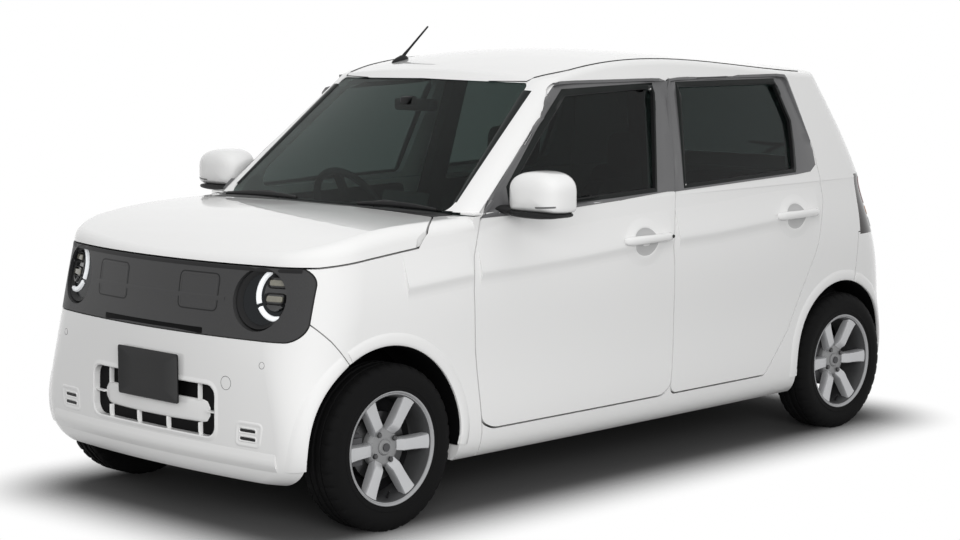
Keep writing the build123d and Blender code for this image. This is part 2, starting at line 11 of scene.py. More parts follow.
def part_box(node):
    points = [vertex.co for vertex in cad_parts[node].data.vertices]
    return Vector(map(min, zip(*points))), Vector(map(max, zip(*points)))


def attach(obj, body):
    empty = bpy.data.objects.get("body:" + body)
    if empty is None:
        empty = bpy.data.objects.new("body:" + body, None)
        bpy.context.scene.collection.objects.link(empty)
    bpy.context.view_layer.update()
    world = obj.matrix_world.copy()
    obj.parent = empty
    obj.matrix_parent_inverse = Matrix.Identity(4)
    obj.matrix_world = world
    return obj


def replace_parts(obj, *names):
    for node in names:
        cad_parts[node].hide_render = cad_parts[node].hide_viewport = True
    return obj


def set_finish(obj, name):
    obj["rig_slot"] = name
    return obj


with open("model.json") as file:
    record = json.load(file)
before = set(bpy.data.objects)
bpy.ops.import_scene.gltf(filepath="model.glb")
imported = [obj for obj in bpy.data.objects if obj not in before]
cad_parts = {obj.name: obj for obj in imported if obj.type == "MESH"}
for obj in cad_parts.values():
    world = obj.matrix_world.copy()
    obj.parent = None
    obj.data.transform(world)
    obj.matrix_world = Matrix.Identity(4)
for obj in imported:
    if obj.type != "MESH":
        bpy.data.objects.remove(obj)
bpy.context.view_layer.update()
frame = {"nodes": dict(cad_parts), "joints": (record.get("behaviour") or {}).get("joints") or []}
NODES = frame["nodes"]
JOINTS = {joint["name"]: joint for joint in frame["joints"]}
WHEEL_AT = {
    place: Vector(JOINTS["wheel_%s_left_spin" % place]["pos_m"]) for place in ("front", "rear")
}
AXLE_Y = WHEEL_AT["front"].y
SIDES = ("left", "right")
BODY = "car_body"
scene = bpy.context.scene

# Camera: place from the front axle, heading, downward tilt, lens for a 36 mm sensor
CAMERA_PLACE = (5.8655, -4.8559, 1.7105)
CAMERA_YAW = 0.77368
CAMERA_TILT = 0.11884
CAMERA_LENS = 82.5

# Light: strength of the white room from above and below, and the slope below which it is lowest
ROOM_LIGHT = 0.90
ROOM_LOW = 0.12
ROOM_LOW_AT = -0.2
# soft lamp: name, size, place, aim, power
LAMPS = [
    ("lamp_above", (5.0, 7.0), (0.6, -0.4, 5.2), (0.0, 0.0, 0.6), 25.0),
    ("lamp_side", (5.0, 3.0), (6.2, -5.0, 2.3), (0.4, -0.5, 0.8), 360.0),
]

# Floor: half size; its dark grey as seen, a painted shadow round the car that also takes the real shadow; its
# colour as it lights the car; and where the painted shadow fades out round a middle block
FLOOR_HALF = 9.0
FLOOR_PAINTED_SHADOW = (0.14, 0.14, 0.14, 1)
FLOOR_LIT = (0.30, 0.30, 0.30, 1)
FLOOR_BLOCK = (0.5, 1.45, 0)
PAINTED_SHADOW_FADE = (0.12, 0.58)


# Finishes

GLOSS_SPREAD = 0.06
GLOSS_LEAST = 0.02
GRAIN_DEPTH = 0.0004
COAT_ROUGHNESS = 0.03
# name: material and the record's slot it belongs to
FINISHES = {}


def new_material(name, slot=None):
    """Tree of an empty node material, which is kept under its name with its slot."""
    made = bpy.data.materials.new(name)
    made.use_nodes = True
    made.node_tree.nodes.clear()
    FINISHES[name] = (made, slot)
    return made.node_tree


def set_inputs(node, values):
    """Sets a node's inputs by their names."""
    for socket, value in values.items():
        node.inputs[socket].default_value = value


def noise(tree, scale, detail=3.0):
    """Noise in the object's own metres."""
    place = tree.nodes.new("ShaderNodeTexCoord")
    texture = tree.nodes.new("ShaderNodeTexNoise")
    set_inputs(texture, {"Scale": scale, "Detail": detail})
    tree.links.new(place.outputs["Object"], texture.inputs["Vector"])
    return texture


def drifting(tree, colour, shade, scale):
    """Shader whose colour drifts in soft patches: the noise, the mixed colour and the shader."""
    output = tree.nodes.new("ShaderNodeOutputMaterial")
    shader = tree.nodes.new("ShaderNodeBsdfPrincipled")
    tree.links.new(shader.outputs["BSDF"], output.inputs["Surface"])
    patches = noise(tree, scale)
    mix = tree.nodes.new("ShaderNodeMix")
    mix.data_type = "RGBA"
    set_inputs(mix, {"A": (*[c * shade for c in colour], 1), "B": (*colour, 1)})
    tree.links.new(patches.outputs["Fac"], mix.inputs["Factor"])
    tree.links.new(mix.outputs["Result"], shader.inputs["Base Color"])
    return patches, mix, shader


def finish(name, slot, colour, roughness, metallic=0.0, coat=0.0, shade=0.92, patch=6.0, grain=900.0,
           bump=0.02, sheen=0.0, specular=0.5):
    """Opaque finish: colour that drifts in soft patches, uneven gloss and a fine grain."""
    tree = new_material(name, slot)
    patches, _, shader = drifting(tree, colour, shade, patch)
    gloss = tree.nodes.new("ShaderNodeMapRange")
    least = max(roughness - GLOSS_SPREAD, GLOSS_LEAST)
    set_inputs(gloss, {"To Min": least, "To Max": roughness + GLOSS_SPREAD})
    tree.links.new(patches.outputs["Fac"], gloss.inputs["Value"])
    tree.links.new(gloss.outputs["Result"], shader.inputs["Roughness"])
    rise = tree.nodes.new("ShaderNodeBump")
    set_inputs(rise, {"Strength": bump, "Distance": GRAIN_DEPTH})
    tree.links.new(noise(tree, grain, 2.0).outputs["Fac"], rise.inputs["Height"])
    tree.links.new(rise.outputs["Normal"], shader.inputs["Normal"])
    set_inputs(shader, {
        "Metallic": metallic, "Coat Weight": coat, "Coat Roughness": COAT_ROUGHNESS, "Sheen Weight": sheen,
        "Specular IOR Level": specular,
    })


def glass(name, tint, bend):
    """Clear tinted glass."""
    shader = drifting(new_material(name, "window_glass"), tint, 0.9, 1.5)[2]
    set_inputs(shader, {"Roughness": 0.01, "IOR": bend, "Transmission Weight": 1.0})


def glow(name, slot, colour, strength):
    """Lit light guide."""
    tree = new_material(name, slot)
    _, mix, shader = drifting(tree, colour, 0.93, 30)
    tree.links.new(mix.outputs["Result"], shader.inputs["Emission Color"])
    set_inputs(shader, {"Emission Strength": strength, "Roughness": 0.2})


finish("paint", "white_paint", (0.8, 0.8, 0.795), 0.32, coat=1.0, shade=0.985, patch=3, grain=350, bump=0.01)
# recess: the white paint made darker, a painted shade for the wells of the handle cups
finish("recess", "white_paint", (0.45, 0.45, 0.45), 0.34, coat=0.8, shade=0.96, patch=30, grain=350,
       bump=0.01)
finish("panel", "dark_panel", (0.05, 0.05, 0.051), 0.48, shade=0.35, patch=420, bump=0.5, specular=0.4)
finish("sash", "black_plastic", (0.105, 0.105, 0.108), 0.42, coat=0.3, shade=0.9, grain=1500, bump=0.06)
finish("black", "black_plastic", (0.01, 0.01, 0.0105), 0.5, shade=0.8, grain=1800, bump=0.2, specular=0.25)
# void: black plastic made near-black, partly the parts' own black and partly a painted shade for the dark
# inside the lower grille, the nose slot and the wheelhouses
finish("void", "black_plastic", (0.004, 0.004, 0.0042), 0.6, shade=0.8, bump=0.2, specular=0.06)
finish("plate", "black_plastic", (0.0065, 0.0065, 0.007), 0.42, shade=0.85, grain=1200, bump=0.08,
       specular=0.25)
finish("cabin", "black_plastic", (0.03, 0.03, 0.032), 0.6, shade=0.8, patch=14, grain=1300, bump=0.3)
finish("cloth", "cloth", (0.055, 0.056, 0.058), 0.85, shade=0.6, patch=700, grain=1600, bump=0.5, sheen=0.3)
finish("rubber", "tyre", (0.008, 0.008, 0.0082), 0.66, shade=0.75, patch=25, grain=1400, bump=0.3,
       specular=0.06)
finish("alloy", "alloy", (0.53, 0.535, 0.545), 0.36, metallic=0.55, shade=0.93, patch=20, grain=2600,
       bump=0.05)
finish("lip", "alloy", (0.36, 0.363, 0.37), 0.38, metallic=0.55, shade=0.93, patch=20, grain=2600, bump=0.05)
# barrel: the rim's alloy made near-black, a painted shade for the inside of the wheel seen between the spokes
finish("barrel", "alloy", (0.085, 0.086, 0.088), 0.45, metallic=0.5, shade=0.85, patch=20, grain=2000,
       bump=0.08)
finish("hub", "alloy", (0.27, 0.272, 0.275), 0.42, metallic=0.5, shade=0.9, patch=25, grain=2200, bump=0.08)
finish("iron", "iron", (0.1, 0.1, 0.105), 0.62, metallic=0.4, shade=0.6, patch=60, grain=700, bump=0.4)
finish("brake", "iron", (0.11, 0.11, 0.112), 0.4, metallic=0.9, shade=0.8, patch=80, grain=3000, bump=0.1)
finish("steel", "steel", (0.007, 0.007, 0.0075), 0.6, shade=0.7, patch=12, grain=500, bump=0.15,
       specular=0.08)
finish("gloss_black", "lamp", (0.008, 0.009, 0.01), 0.12, coat=0.6, shade=0.8)
finish("bowl", "lamp", (0.006, 0.008, 0.01), 0.16, shade=0.8, patch=20, grain=600, specular=0.22)
finish("amber", "lamp", (0.55, 0.2, 0.03), 0.2, coat=0.6, shade=0.85)
finish("led", "lamp", (0.25, 0.24, 0.19), 0.2, coat=0.6, shade=0.55, patch=180, grain=400, bump=0.3)
finish("lens", "tail_lamp", (0.42, 0.43, 0.44), 0.12, coat=0.8, shade=0.8, patch=120, grain=300, bump=0.2)
finish("red_lamp", "tail_lamp", (0.17, 0.006, 0.009), 0.12, coat=0.6, shade=0.7, patch=40, grain=250,
       bump=0.15)
finish("dark_lamp", "tail_lamp", (0.012, 0.007, 0.0075), 0.15, coat=0.25, shade=0.8, specular=0.3)
finish("silver", "window_glass", (0.62, 0.64, 0.65), 0.05, metallic=1.0, shade=0.97)
finish("glass_edge", "window_glass", (0.012, 0.014, 0.0135), 0.3, shade=0.9, bump=0.01, specular=0.12)
glass("front_glass", (0.26, 0.32, 0.30), 1.15)
glass("side_glass", (0.10, 0.125, 0.12), 1.22)
glow("light_guide", "lamp", (0.86, 0.88, 0.90), 0.35)

# look: how the names of its CAD nodes start
NODE_FINISH = {
    "paint": ("body_sides", "roof", "front_fenders", "front_bumper", "rear_bumper", "bonnet", "tailgate",
              "door_"),
    "panel": ("nose_panel",),
    # the lower grille's near-black is partly a painted shade of the opening behind it
    "void": ("lower_grille",),
    "front_glass": ("windshield",),
    "side_glass": ("glass_", "rear_window"),
    "cabin": ("dashboard", "pillars", "steering_wheel"),
    "steel": ("floor_pan", "drive_unit", "battery_pack"),
    "iron": ("front_suspension", "rear_axle", "knuckle_"),
    "dark_lamp": ("tail_lamps",),
    "cloth": ("front_seats", "rear_seat"),
    "rubber": ("tyre_",),
    "alloy": ("wheel_",),
    "bowl": ("headlamps",),
    "black": ("cowl", "antenna", "mirror_"),
}
for look, starts in NODE_FINISH.items():
    for name, node in NODES.items():
        if name.startswith(starts):
            node.data.materials.clear()
            node.data.materials.append(FINISHES[look][0])


# Points on the solids

def side_at(points):
    """Side points in metres, from millimetres behind the front axle and above the road."""
    return [(AXLE_Y + y / 1000, z / 1000) for y, z in points]


def end_at(points):
    """Front or rear points in metres, from millimetres to the left and above the road."""
    return [(x / 1000, z / 1000) for x, z in points]


def car_at(x, y, z):
    """Point from millimetres to the left, behind the front axle and above the road."""
    return Vector((x / 1000, AXLE_Y + y / 1000, z / 1000))


FAR = 4.0
FACING = 0.3
# name: direction of sight, index of the depth axis, depth near the surface
SIGHTS = {
    "side": (Vector((-1, 0, 0)), 0, 0.72),
    "front": (Vector((0, 1, 0)), 1, -1.66),
    "rear": (Vector((0, -1, 0)), 1, 1.62),
    "top": (Vector((0, 0, -1)), 2, 1.0),
    "inside": (Vector((1, 0, 0)), 0, 0.55),
}


class Skin:
    """Surface of some CAD nodes or pieces seen along one axis."""

    def __init__(self, sight, *sources):
        self.direction, self.axis, self.near = SIGHTS[sight]
        corners, faces = [], []
        for source in sources:
            mesh = (NODES[source] if isinstance(source, str) else source).data
            first = len(corners)
            corners += [v.co.copy() for v in mesh.vertices]
            faces += [[first + i for i in polygon.vertices] for polygon in mesh.polygons]
        self.tree = BVHTree.FromPolygons(corners, faces)

    def spread(self, a, b, depth):
        """Flat coordinates and a depth as a point."""
        flat = [a, b]
        flat.insert(self.axis, depth)
        return Vector(flat)

    def meet(self, a, b):
        """Where the line of sight through the flat point meets a surface that faces it, or None."""
        start = self.spread(a, b, -FAR * self.direction[self.axis])
        place, normal = self.tree.ray_cast(start, self.direction)[:2]
        if place is None or abs(normal.dot(self.direction)) < FACING:
            return None
        return place

    def hits(self, a, b):
        """Whether the line of sight meets such a surface."""
        return self.meet(a, b) is not None

    def point(self, a, b):
        """Where it meets the surface, or else the flat point as deep as the nearest surface is."""
        place = self.meet(a, b)
        if place is None:
            nearest = self.tree.find_nearest(self.spread(a, b, self.near))[0]
            place = self.spread(a, b, nearest[self.axis])
        return place


# Flat outlines

OUTLINE_STEP = 0.012
CORNER_SHARE = 0.45


def between(first, last, steps):
    """Numbers in equal steps from the first to the last."""
    return [first + (last - first) * i / steps for i in range(steps + 1)]


def turns(count):
    """Equal angles round a full turn."""
    return [2 * pi * k / count for k in range(count)]


def bent(value, power):
    """Power of a number, with the number's sign."""
    return copysign(abs(value) ** power, value)


def mixed(first, last, share):
    """Flat point at a share of the way between two."""
    return first[0] + (last[0] - first[0]) * share, first[1] + (last[1] - first[1]) * share


def all_mixed(first, last, share):
    """Outline at a share of the way between two."""
    return [mixed(p, q, share) for p, q in zip(first, last)]


def finer(outline, steps):
    """Closed outline with each side cut into equal steps, so that outlines of as many corners match."""
    sides = zip(outline, outline[1:] + outline[:1])
    return [mixed(first, last, step / steps) for first, last in sides for step in range(steps)]


def rounded(corners, radius, steps):
    """Closed outline with its corners rounded off, and points along its sides to follow a curved skin."""
    outline = []
    for i, corner in enumerate(corners):
        here = Vector(corner)
        before, after = Vector(corners[i - 1]), Vector(corners[(i + 1) % len(corners)])
        reach = min(radius, (before - here).length * CORNER_SHARE, (after - here).length * CORNER_SHARE)
        first = here + (before - here).normalized() * reach
        last = here + (after - here).normalized() * reach
        for t in between(0, 1, steps):
            outline.append(tuple(first * (1 - t) ** 2 + here * 2 * t * (1 - t) + last * t ** 2))
    dense = []
    for first, last in zip(outline, outline[1:] + outline[:1]):
        pieces = max(1, round(hypot(last[0] - first[0], last[1] - first[1]) / OUTLINE_STEP))
        dense += [tuple(Vector(first).lerp(Vector(last), piece / pieces)) for piece in range(pieces)]
    return dense


def oblong(left, low, right, high, radius, steps):
    """Rectangle on the front or rear with rounded corners, from its edges in millimetres."""
    return rounded(end_at([(left, low), (right, low), (right, high), (left, high)]), radius, steps)


def spaced(points, count):
    """The line through the points, as evenly spaced points."""
    line = [Vector(p) for p in points]
    lengths = [0.0]
    for first, last in zip(line, line[1:]):
        lengths.append(lengths[-1] + (last - first).length)
    result = []
    segment = 0
    for goal in between(0, lengths[-1], count - 1):
        while segment < len(line) - 2 and lengths[segment + 1] < goal:
            segment += 1
        share = (goal - lengths[segment]) / max(lengths[segment + 1] - lengths[segment], 1e-9)
        result.append(tuple(line[segment].lerp(line[segment + 1], min(share, 1.0))))
    return result


def beside(points, distance, closed=False):
    """The line moved sideways, to the right of its direction."""
    count = len(points)
    result = []
    for i, (a, b) in enumerate(points):
        before = points[i - 1] if closed or i else points[i]
        after = points[(i + 1) % count] if closed or i < count - 1 else points[i]
        along = Vector((after[0] - before[0], after[1] - before[1])).normalized()
        result.append((a + along.y * distance, b - along.x * distance))
    return result


def ellipse(centre, half_a, half_b, count, first=0.0, last=2 * pi):
    """Points round an ellipse, or along part of it."""
    whole = last - first > 2 * pi - 1e-6
    angles = between(first, last, count if whole else count - 1)[:count]
    return [(centre[0] + half_a * cos(angle), centre[1] + half_b * sin(angle)) for angle in angles]


def shrunk(outline, factors):
    """The outline at several sizes about its middle."""
    a = sum(p[0] for p in outline) / len(outline)
    b = sum(p[1] for p in outline) / len(outline)
    return [[(a + (p[0] - a) * f, b + (p[1] - b) * f) for p in outline] for f in factors]


def ringed(outline, distances):
    """The closed outline moved outwards by each distance."""
    area = sum(p[0] * q[1] - q[0] * p[1] for p, q in zip(outline, outline[1:] + outline[:1]))
    turn = 1 if area > 0 else -1
    return [beside(outline, turn * d, True) for d in distances]


# Pieces

def add_piece(name, body, look, maker, smooth=35.0):
    """Turns a bmesh into a piece that rides on a body."""
    mesh = bpy.data.meshes.new(name)
    bmesh.ops.recalc_face_normals(maker, faces=maker.faces)
    maker.to_mesh(mesh)
    maker.free()
    made, slot = FINISHES[look]
    mesh.materials.append(made)
    mesh.shade_smooth()
    mesh.set_sharp_from_angle(angle=radians(smooth))
    piece = bpy.data.objects.new(name, mesh)
    scene.collection.objects.link(piece)
    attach(piece, body)
    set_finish(piece, slot)
    return piece


def twin(piece, name, body):
    """Mirror image of a piece on the car's other side."""
    mesh = piece.data.copy()
    mesh.transform(Matrix.Scale(-1, 4, Vector((1, 0, 0))))
    mesh.flip_normals()
    other = bpy.data.objects.new(name, mesh)
    scene.collection.objects.link(other)
    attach(other, body)
    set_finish(other, piece["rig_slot"])
    return other


def pair(make, name, body, *details, **choices):
    """A piece on the left, and its mirror image on the right, each on its own side's body."""
    left = make(name + "_left", body.replace("SIDE", "left"), *details, **choices)
    return left, twin(left, name + "_right", body.replace("SIDE", "right"))


def pad(name, body, look, skin, rows, lifts, closed=True, capped=True, sink=0.003, smooth=35.0):
    """Solid that lies on a skin: rows of flat points, each lifted off the skin by its own height."""
    grid = [[skin.point(a, b) for a, b in row] for row in rows]
    count = len(rows[0])
    maker = bmesh.new()
    upper, lower = [], []
    for r, row in enumerate(grid):
        before, after = grid[max(r - 1, 0)], grid[min(r + 1, len(grid) - 1)]
        for c, point in enumerate(row):
            previous = row[c - 1] if closed or c else point
            following = row[(c + 1) % count] if closed or c < count - 1 else point
            normal = (following - previous).cross(after[c] - before[c])
            normal = normal.normalized() if normal.length > 1e-12 else -skin.direction
            if normal.dot(skin.direction) > 0:
                normal = -normal
            upper.append(maker.verts.new(point + normal * lifts[r]))
            lower.append(maker.verts.new(point - normal * sink))
    last_row = (len(grid) - 1) * count
    for c in range(count if closed else count - 1):
        d = (c + 1) % count
        for r in range(len(grid) - 1):
            near, far = r * count, (r + 1) * count
            maker.faces.new([upper[near + c], upper[near + d], upper[far + d], upper[far + c]])
            maker.faces.new([lower[far + c], lower[far + d], lower[near + d], lower[near + c]])
        maker.faces.new([lower[c], lower[d], upper[d], upper[c]])
        if not (closed and capped):
            end, beyond = last_row + c, last_row + d
            maker.faces.new([upper[end], upper[beyond], lower[beyond], lower[end]])
    if closed and capped:
        maker.faces.new(upper[last_row:])
        maker.faces.new(lower[last_row:])
    if not closed:
        for c in (0, count - 1):
            for r in range(len(grid) - 1):
                near, far = r * count + c, (r + 1) * count + c
                maker.faces.new([upper[near], upper[far], lower[far], lower[near]])
    return add_piece(name, body, look, maker, smooth)


def band(name, body, look, skin, outline, section, sink=0.003):
    """Open band along an outline; its section is distances outwards, each with its height."""
    rows = ringed(outline, [distance for distance, lift in section])
    return pad(name, body, look, skin, rows, [lift for distance, lift in section], capped=False, sink=sink)


def dish(name, body, look, skin, outline, section, capped=True, smooth=35.0):
    """Pad of rings inside an outline; its section is sizes as shares, each with its height."""
    rows = shrunk(outline, [share for share, lift in section])
    return pad(name, body, look, skin, rows, [lift for share, lift in section], capped=capped, smooth=smooth)


def raised(name, body, look, skin, outline, edge, inset, shares, height, smooth=35.0):
    """Filled pad: an edge of distances and heights, then a flat face of rings inside an inset outline."""
    rows = ringed(outline, [distance for distance, lift in edge])
    rows += shrunk(ringed(outline, [-inset])[0], shares)
    lifts = [lift for distance, lift in edge] + [height] * len(shares)
    return pad(name, body, look, skin, rows, lifts, smooth=smooth)


def plug(name, body, look, skin, outline, height, edge):
    """Filled pad with a rounded edge."""
    section = [(0, height * 0.4), (-edge * 0.3, height * 0.85), (-edge, height)]
    return raised(name, body, look, skin, outline, section, edge, (0.75, 0.45, 0.15), height)


def seam(name, body, look, skin, outline, width, height=0.0004):
    """Closed line drawn on a skin."""
    section = [(width / 2, height), (0, height), (-width / 2, height)]
    return band(name, body, look, skin, outline, section, sink=0.001)


def strip(name, body, look, skin, path, section, sink=0.003):
    """Moulding along an open line, as far as the skin goes: distances beside it, each with its height."""
    rows = [beside(path, distance) for distance, lift in section]
    kept = [i for i in range(len(path)) if all(skin.hits(*row[i]) for row in rows[1:])]
    rows = [[row[i] for i in kept] for row in rows]
    return pad(name, body, look, skin, rows, [lift for distance, lift in section], closed=False, sink=sink)


def loft(name, body, look, solids, smooth, ring=False):
    """Piece of solids, each a row of closed outlines: joined into a ring, or with a cap at both ends."""
    maker = bmesh.new()
    for outlines in solids:
        rows = [[maker.verts.new(point) for point in outline] for outline in outlines]
        for first, second in zip(rows, rows[1:] + rows[:1] if ring else rows[1:]):
            for k in range(len(first)):
                m = (k + 1) % len(first)
                maker.faces.new([first[k], first[m], second[m], second[k]])
        if not ring:
            maker.faces.new(rows[0])
            maker.faces.new(rows[-1])
    return add_piece(name, body, look, maker, smooth)


def lathe(name, body, look, centre, profile, steps, cut_every=0):
    """Closed outline turned about a wheel's axis: millimetres along it, radius, depth of a cross cut."""
    rows = []
    for step, angle in enumerate(turns(steps)):
        is_cut = cut_every and step % cut_every == 0
        row = []
        for x, radius, cut in profile:
            r = radius / 1000 - (cut / 1000 if is_cut else 0.0)
            row.append((centre.x + x / 1000, centre.y + r * cos(angle), centre.z + r * sin(angle)))
        rows.append(row)
    return loft(name, body, look, [rows], smooth=35, ring=True)


def tube(name, body, look, path, sizes, count=14, up=(0, 0, 1)):
    """Bar along a path, with an upright ellipse of its own half sizes at each point, closed at both ends."""
    rows = []
    for i, point in enumerate(path):
        along = (Vector(path[min(i + 1, len(path) - 1)]) - Vector(path[max(i - 1, 0)])).normalized()
        across = along.cross(Vector(up)).normalized()
        upright = across.cross(along)
        wide, tall = sizes[i]
        rows.append([
            Vector(point) + across * wide * cos(angle) + upright * tall * sin(angle) for angle in turns(count)
        ])
    return loft(name, body, look, [rows], smooth=50)


def round_sizes(*radii):
    """Half sizes of a round bar."""
    return [(radius, radius) for radius in radii]


def box_piece(name, body, look, low, high, radius, turn=None):
    """Rounded box between two corners, turned about its middle."""
    maker = bmesh.new()
    bmesh.ops.create_cube(maker, size=1.0)
    low, high = Vector(low), Vector(high)
    size, middle = high - low, (low + high) / 2
    bmesh.ops.scale(maker, vec=size, verts=maker.verts)
    bevel = min(radius, min(size) * CORNER_SHARE)
    bmesh.ops.bevel(maker, geom=maker.edges[:], offset=bevel, segments=4, profile=0.5, affect="EDGES")
    if turn:
        bmesh.ops.rotate(maker, matrix=turn, verts=maker.verts)
    bmesh.ops.translate(maker, vec=middle, verts=maker.verts)
    return add_piece(name, body, look, maker)


# Side of the car: crease, window frames and handles

CREASE = [
    (60, 800), (377, 822), (625, 827), (905, 837), (1135, 851), (1422, 860), (1686, 866), (2054, 886),
    (2392, 890), (2600, 903),
]
CREASE_SECTION = [
    (-0.11, 0.0001), (-0.08, 0.0018), (-0.045, 0.0052), (-0.016, 0.0092), (-0.004, 0.0104), (0.002, 0.0100),
    (0.010, 0.0066), (0.022, 0.0022), (0.032, 0.0006), (0.042, 0.0001),
]
# panel: its node, its body, first and last point of the crease on it
CREASE_PANELS = {
    "front_fenders": ("front_fenders", BODY, 70, 368),
    "door_front": ("door_front_left", "door_front_SIDE", 382, 1418),
    "door_rear": ("door_rear_left", "door_rear_SIDE", 1432, 2398),
}
# door: outside of the window's frame, outside and inside of the dark edge of its glass
WINDOWS = {
    "front": (
        [(437, 1003), (560, 1102), (816, 1308), (985, 1438), (1548, 1438), (1448, 1036), (1172, 1020),
         (903, 1009), (600, 1003)],
        [(592, 1020), (597, 1099), (812, 1292), (976, 1420), (1470, 1431), (1366, 1037), (1172, 1031),
         (903, 1024), (630, 1019)],
        [(602, 1028), (613, 1096), (816, 1272), (985, 1402), (1466, 1420), (1364, 1043), (1172, 1038),
         (903, 1032), (640, 1026)],
    ),
    "rear": (
        [(1464, 1032), (1558, 1438), (2289, 1438), (2335, 1290), (2380, 1144), (2378, 1085), (2335, 1060),
         (2240, 1054), (1850, 1043)],
        [(1522, 1041), (1604, 1431), (2221, 1430), (2275, 1264), (2263, 1172), (2250, 1110), (2243, 1078),
         (2234, 1062), (1850, 1051)],
        [(1525, 1046), (1607, 1420), (2214, 1418), (2264, 1262), (2252, 1172), (2240, 1112), (2234, 1082),
         (2226, 1068), (1850, 1056)],
    ),
}
WINDOW_STEPS = 12
WINDOW_INSET = 0.006
FRAME_SHARES = (0, 0.07, 0.5, 0.93, 1)
FRAME_SINK = 0.010
SASH_LIFTS = [0.0005, 0.002, 0.0024, 0.002, 0.0005]
GLASS_EDGE_LIFTS = [0.0005, 0.0018, 0.0022, 0.0018, 0.0005]
EDGE_REACH = 24
EDGE_COVER = 0.0012
EDGE_BELOW = -0.15
SEAL_LIFT = 0.0008
SEAL_DEPTH = 0.014
SEAL_WIDTH = 0.003
# door: first and last point of the handle, height of its middle, middle and radius of the cup behind it
HANDLES = {"front": (1143, 1392, 873, (1258, 863), 52), "rear": (2064, 2320, 901, (2186, 893), 50)}
# along the handle: share of its length, distance off the door, half width and half height
HANDLE_STANDS = [
    (0, 8, 6, 10), (0.03, 16, 10, 15), (0.1, 26, 12, 16.5), (0.5, 30, 12, 15.5), (0.86, 28, 12, 15.5),
    (0.95, 25, 13, 15), (0.985, 20, 11, 12), (1.0, 15, 6, 7),
]
HANDLE_RISE = 3
POST_SHARES = (0.07, 0.93)
POST_REACH = (-0.002, 0.012, 0.026)
POST_SIZES = [(0.016, 0.012), (0.012, 0.011), (0.010, 0.010)]
LOCK_PLACE = Vector((0.0125, 0.002, 0.001))
LOCK_HEIGHT = Vector((0.0025, 0, 0))
# the cup's ring reaches past its radius by these factors, along and upright
CUP_WIDE, CUP_TALL = 2.15, 1.7
CUP_SECTION = [(1, 0.0001), (0.9, 0.0008), (0.75, 0.0034), (0.64, 0.0050), (0.6, 0.0048), (0.57, 0.0034)]
WELL_SECTION = [(0.575, 0.0036), (0.5, 0.0016), (0.4, 0.0008), (0.25, 0.0005), (0.06, 0.0004)]


def edge_from(skin, outside, inside):
    """The outside point moved to the panel's edge, where that is near and isn't below it."""
    here, away = Vector(outside), (Vector(outside) - Vector(inside)).normalized()
    if away.y < EDGE_BELOW:
        return outside
    for reach in range(EDGE_REACH, -EDGE_REACH, -1):
        tried = here + away * reach / 1000
        if skin.hits(*tried):
            return tuple(tried + away * EDGE_COVER)
    return outside


def seal(name, body, skin, outline):
    """Rubber wall inside a window frame, from its face to the glass."""
    inside = ringed(outline, [-SEAL_WIDTH])[0]
    faces = [skin.point(a, b).x for a, b in outline]
    section = ((outline, SEAL_LIFT), (inside, SEAL_LIFT), (inside, -SEAL_DEPTH), (outline, -SEAL_DEPTH))
    rings = [[(face + depth, a, b) for face, (a, b) in zip(faces, ring)] for ring, depth in section]
    return loft(name, body, "black", [rings], smooth=40, ring=True)


def crease_height(y):
    """Height of the crease at a place along the car."""
    for first, last in zip(CREASE, CREASE[1:]):
        if first[0] <= y <= last[0]:
            return first[1] + (last[1] - first[1]) * (y - first[0]) / (last[0] - first[0])
    return CREASE[-1][1]


crease_pieces = {}
for panel, (node, body, first, last) in CREASE_PANELS.items():
    line = side_at([(y, crease_height(y)) for y in between(first, last, 40)])
    skin = Skin("side", node)
    crease = pair(strip, "crease_" + panel, body, "paint", skin, line, CREASE_SECTION, sink=0.002)
    crease_pieces[panel] = crease[0]

for place, outlines in WINDOWS.items():
    door, door_node = "door_%s_SIDE" % place, "door_%s_left" % place
    skin = Skin("side", door_node)
    outer, middle, inner = [finer(side_at(outline), WINDOW_STEPS) for outline in outlines]
    inner = ringed(inner, [-WINDOW_INSET])[0]
    outer = [edge_from(skin, p, q) for p, q in zip(outer, inner)]
    for look, first, last, lifts in (
        ("glass_edge", middle, inner, GLASS_EDGE_LIFTS), ("sash", outer, middle, SASH_LIFTS),
    ):
        rows = [all_mixed(first, last, share) for share in FRAME_SHARES]
        pair(pad, "%s_%s" % (look, place), door, look, skin, rows, lifts, capped=False, sink=FRAME_SINK)
    pair(seal, "seal_" + place, door, skin, inner)

    first, last, height, cup, radius = HANDLES[place]
    cup_skin = Skin("side", door_node, crease_pieces["door_" + place])
    cup_line = ellipse(side_at([cup])[0], radius * CUP_WIDE / 1000, radius * CUP_TALL / 1000, 64)
    pair(dish, "handle_cup_" + place, door, "paint", cup_skin, cup_line, CUP_SECTION, capped=False, smooth=60)
    # the well's darker paint is a painted shade of the recess behind the handle
    pair(dish, "handle_well_" + place, door, "recess", cup_skin, cup_line, WELL_SECTION, smooth=60)
    path, sizes = [], []
    for share, off, wide, tall in HANDLE_STANDS:
        y, z = side_at([(first + (last - first) * share, height + HANDLE_RISE * share)])[0]
        path.append(skin.point(y, z) + Vector((off / 1000, 0, 0)))
        sizes.append((wide / 1000, tall / 1000))
    pair(tube, "handle_" + place, door, "paint", path, sizes, count=20)
    for number, share in enumerate(POST_SHARES):
        foot = skin.point(*side_at([(first + (last - first) * share, height)])[0])
        post = [foot + Vector((reach, 0, 0)) for reach in POST_REACH]
        pair(tube, "handle_post_%s_%d" % (place, number), door, "paint", post, POST_SIZES, count=16)
    if place == "front":
        lock = path[-3] + LOCK_PLACE
        tube("key_lock", door_node, "black", [lock, lock + LOCK_HEIGHT], round_sizes(0.007, 0.006), count=16)

# Wheel arches: middle and radius, their edges and the dark liners inside them, whose near-black is partly a
# painted shade of the wheelhouses

FRONT_ARCH = ((-18, 295), 325)
REAR_ARCH = ((2512, 298.5), 312)
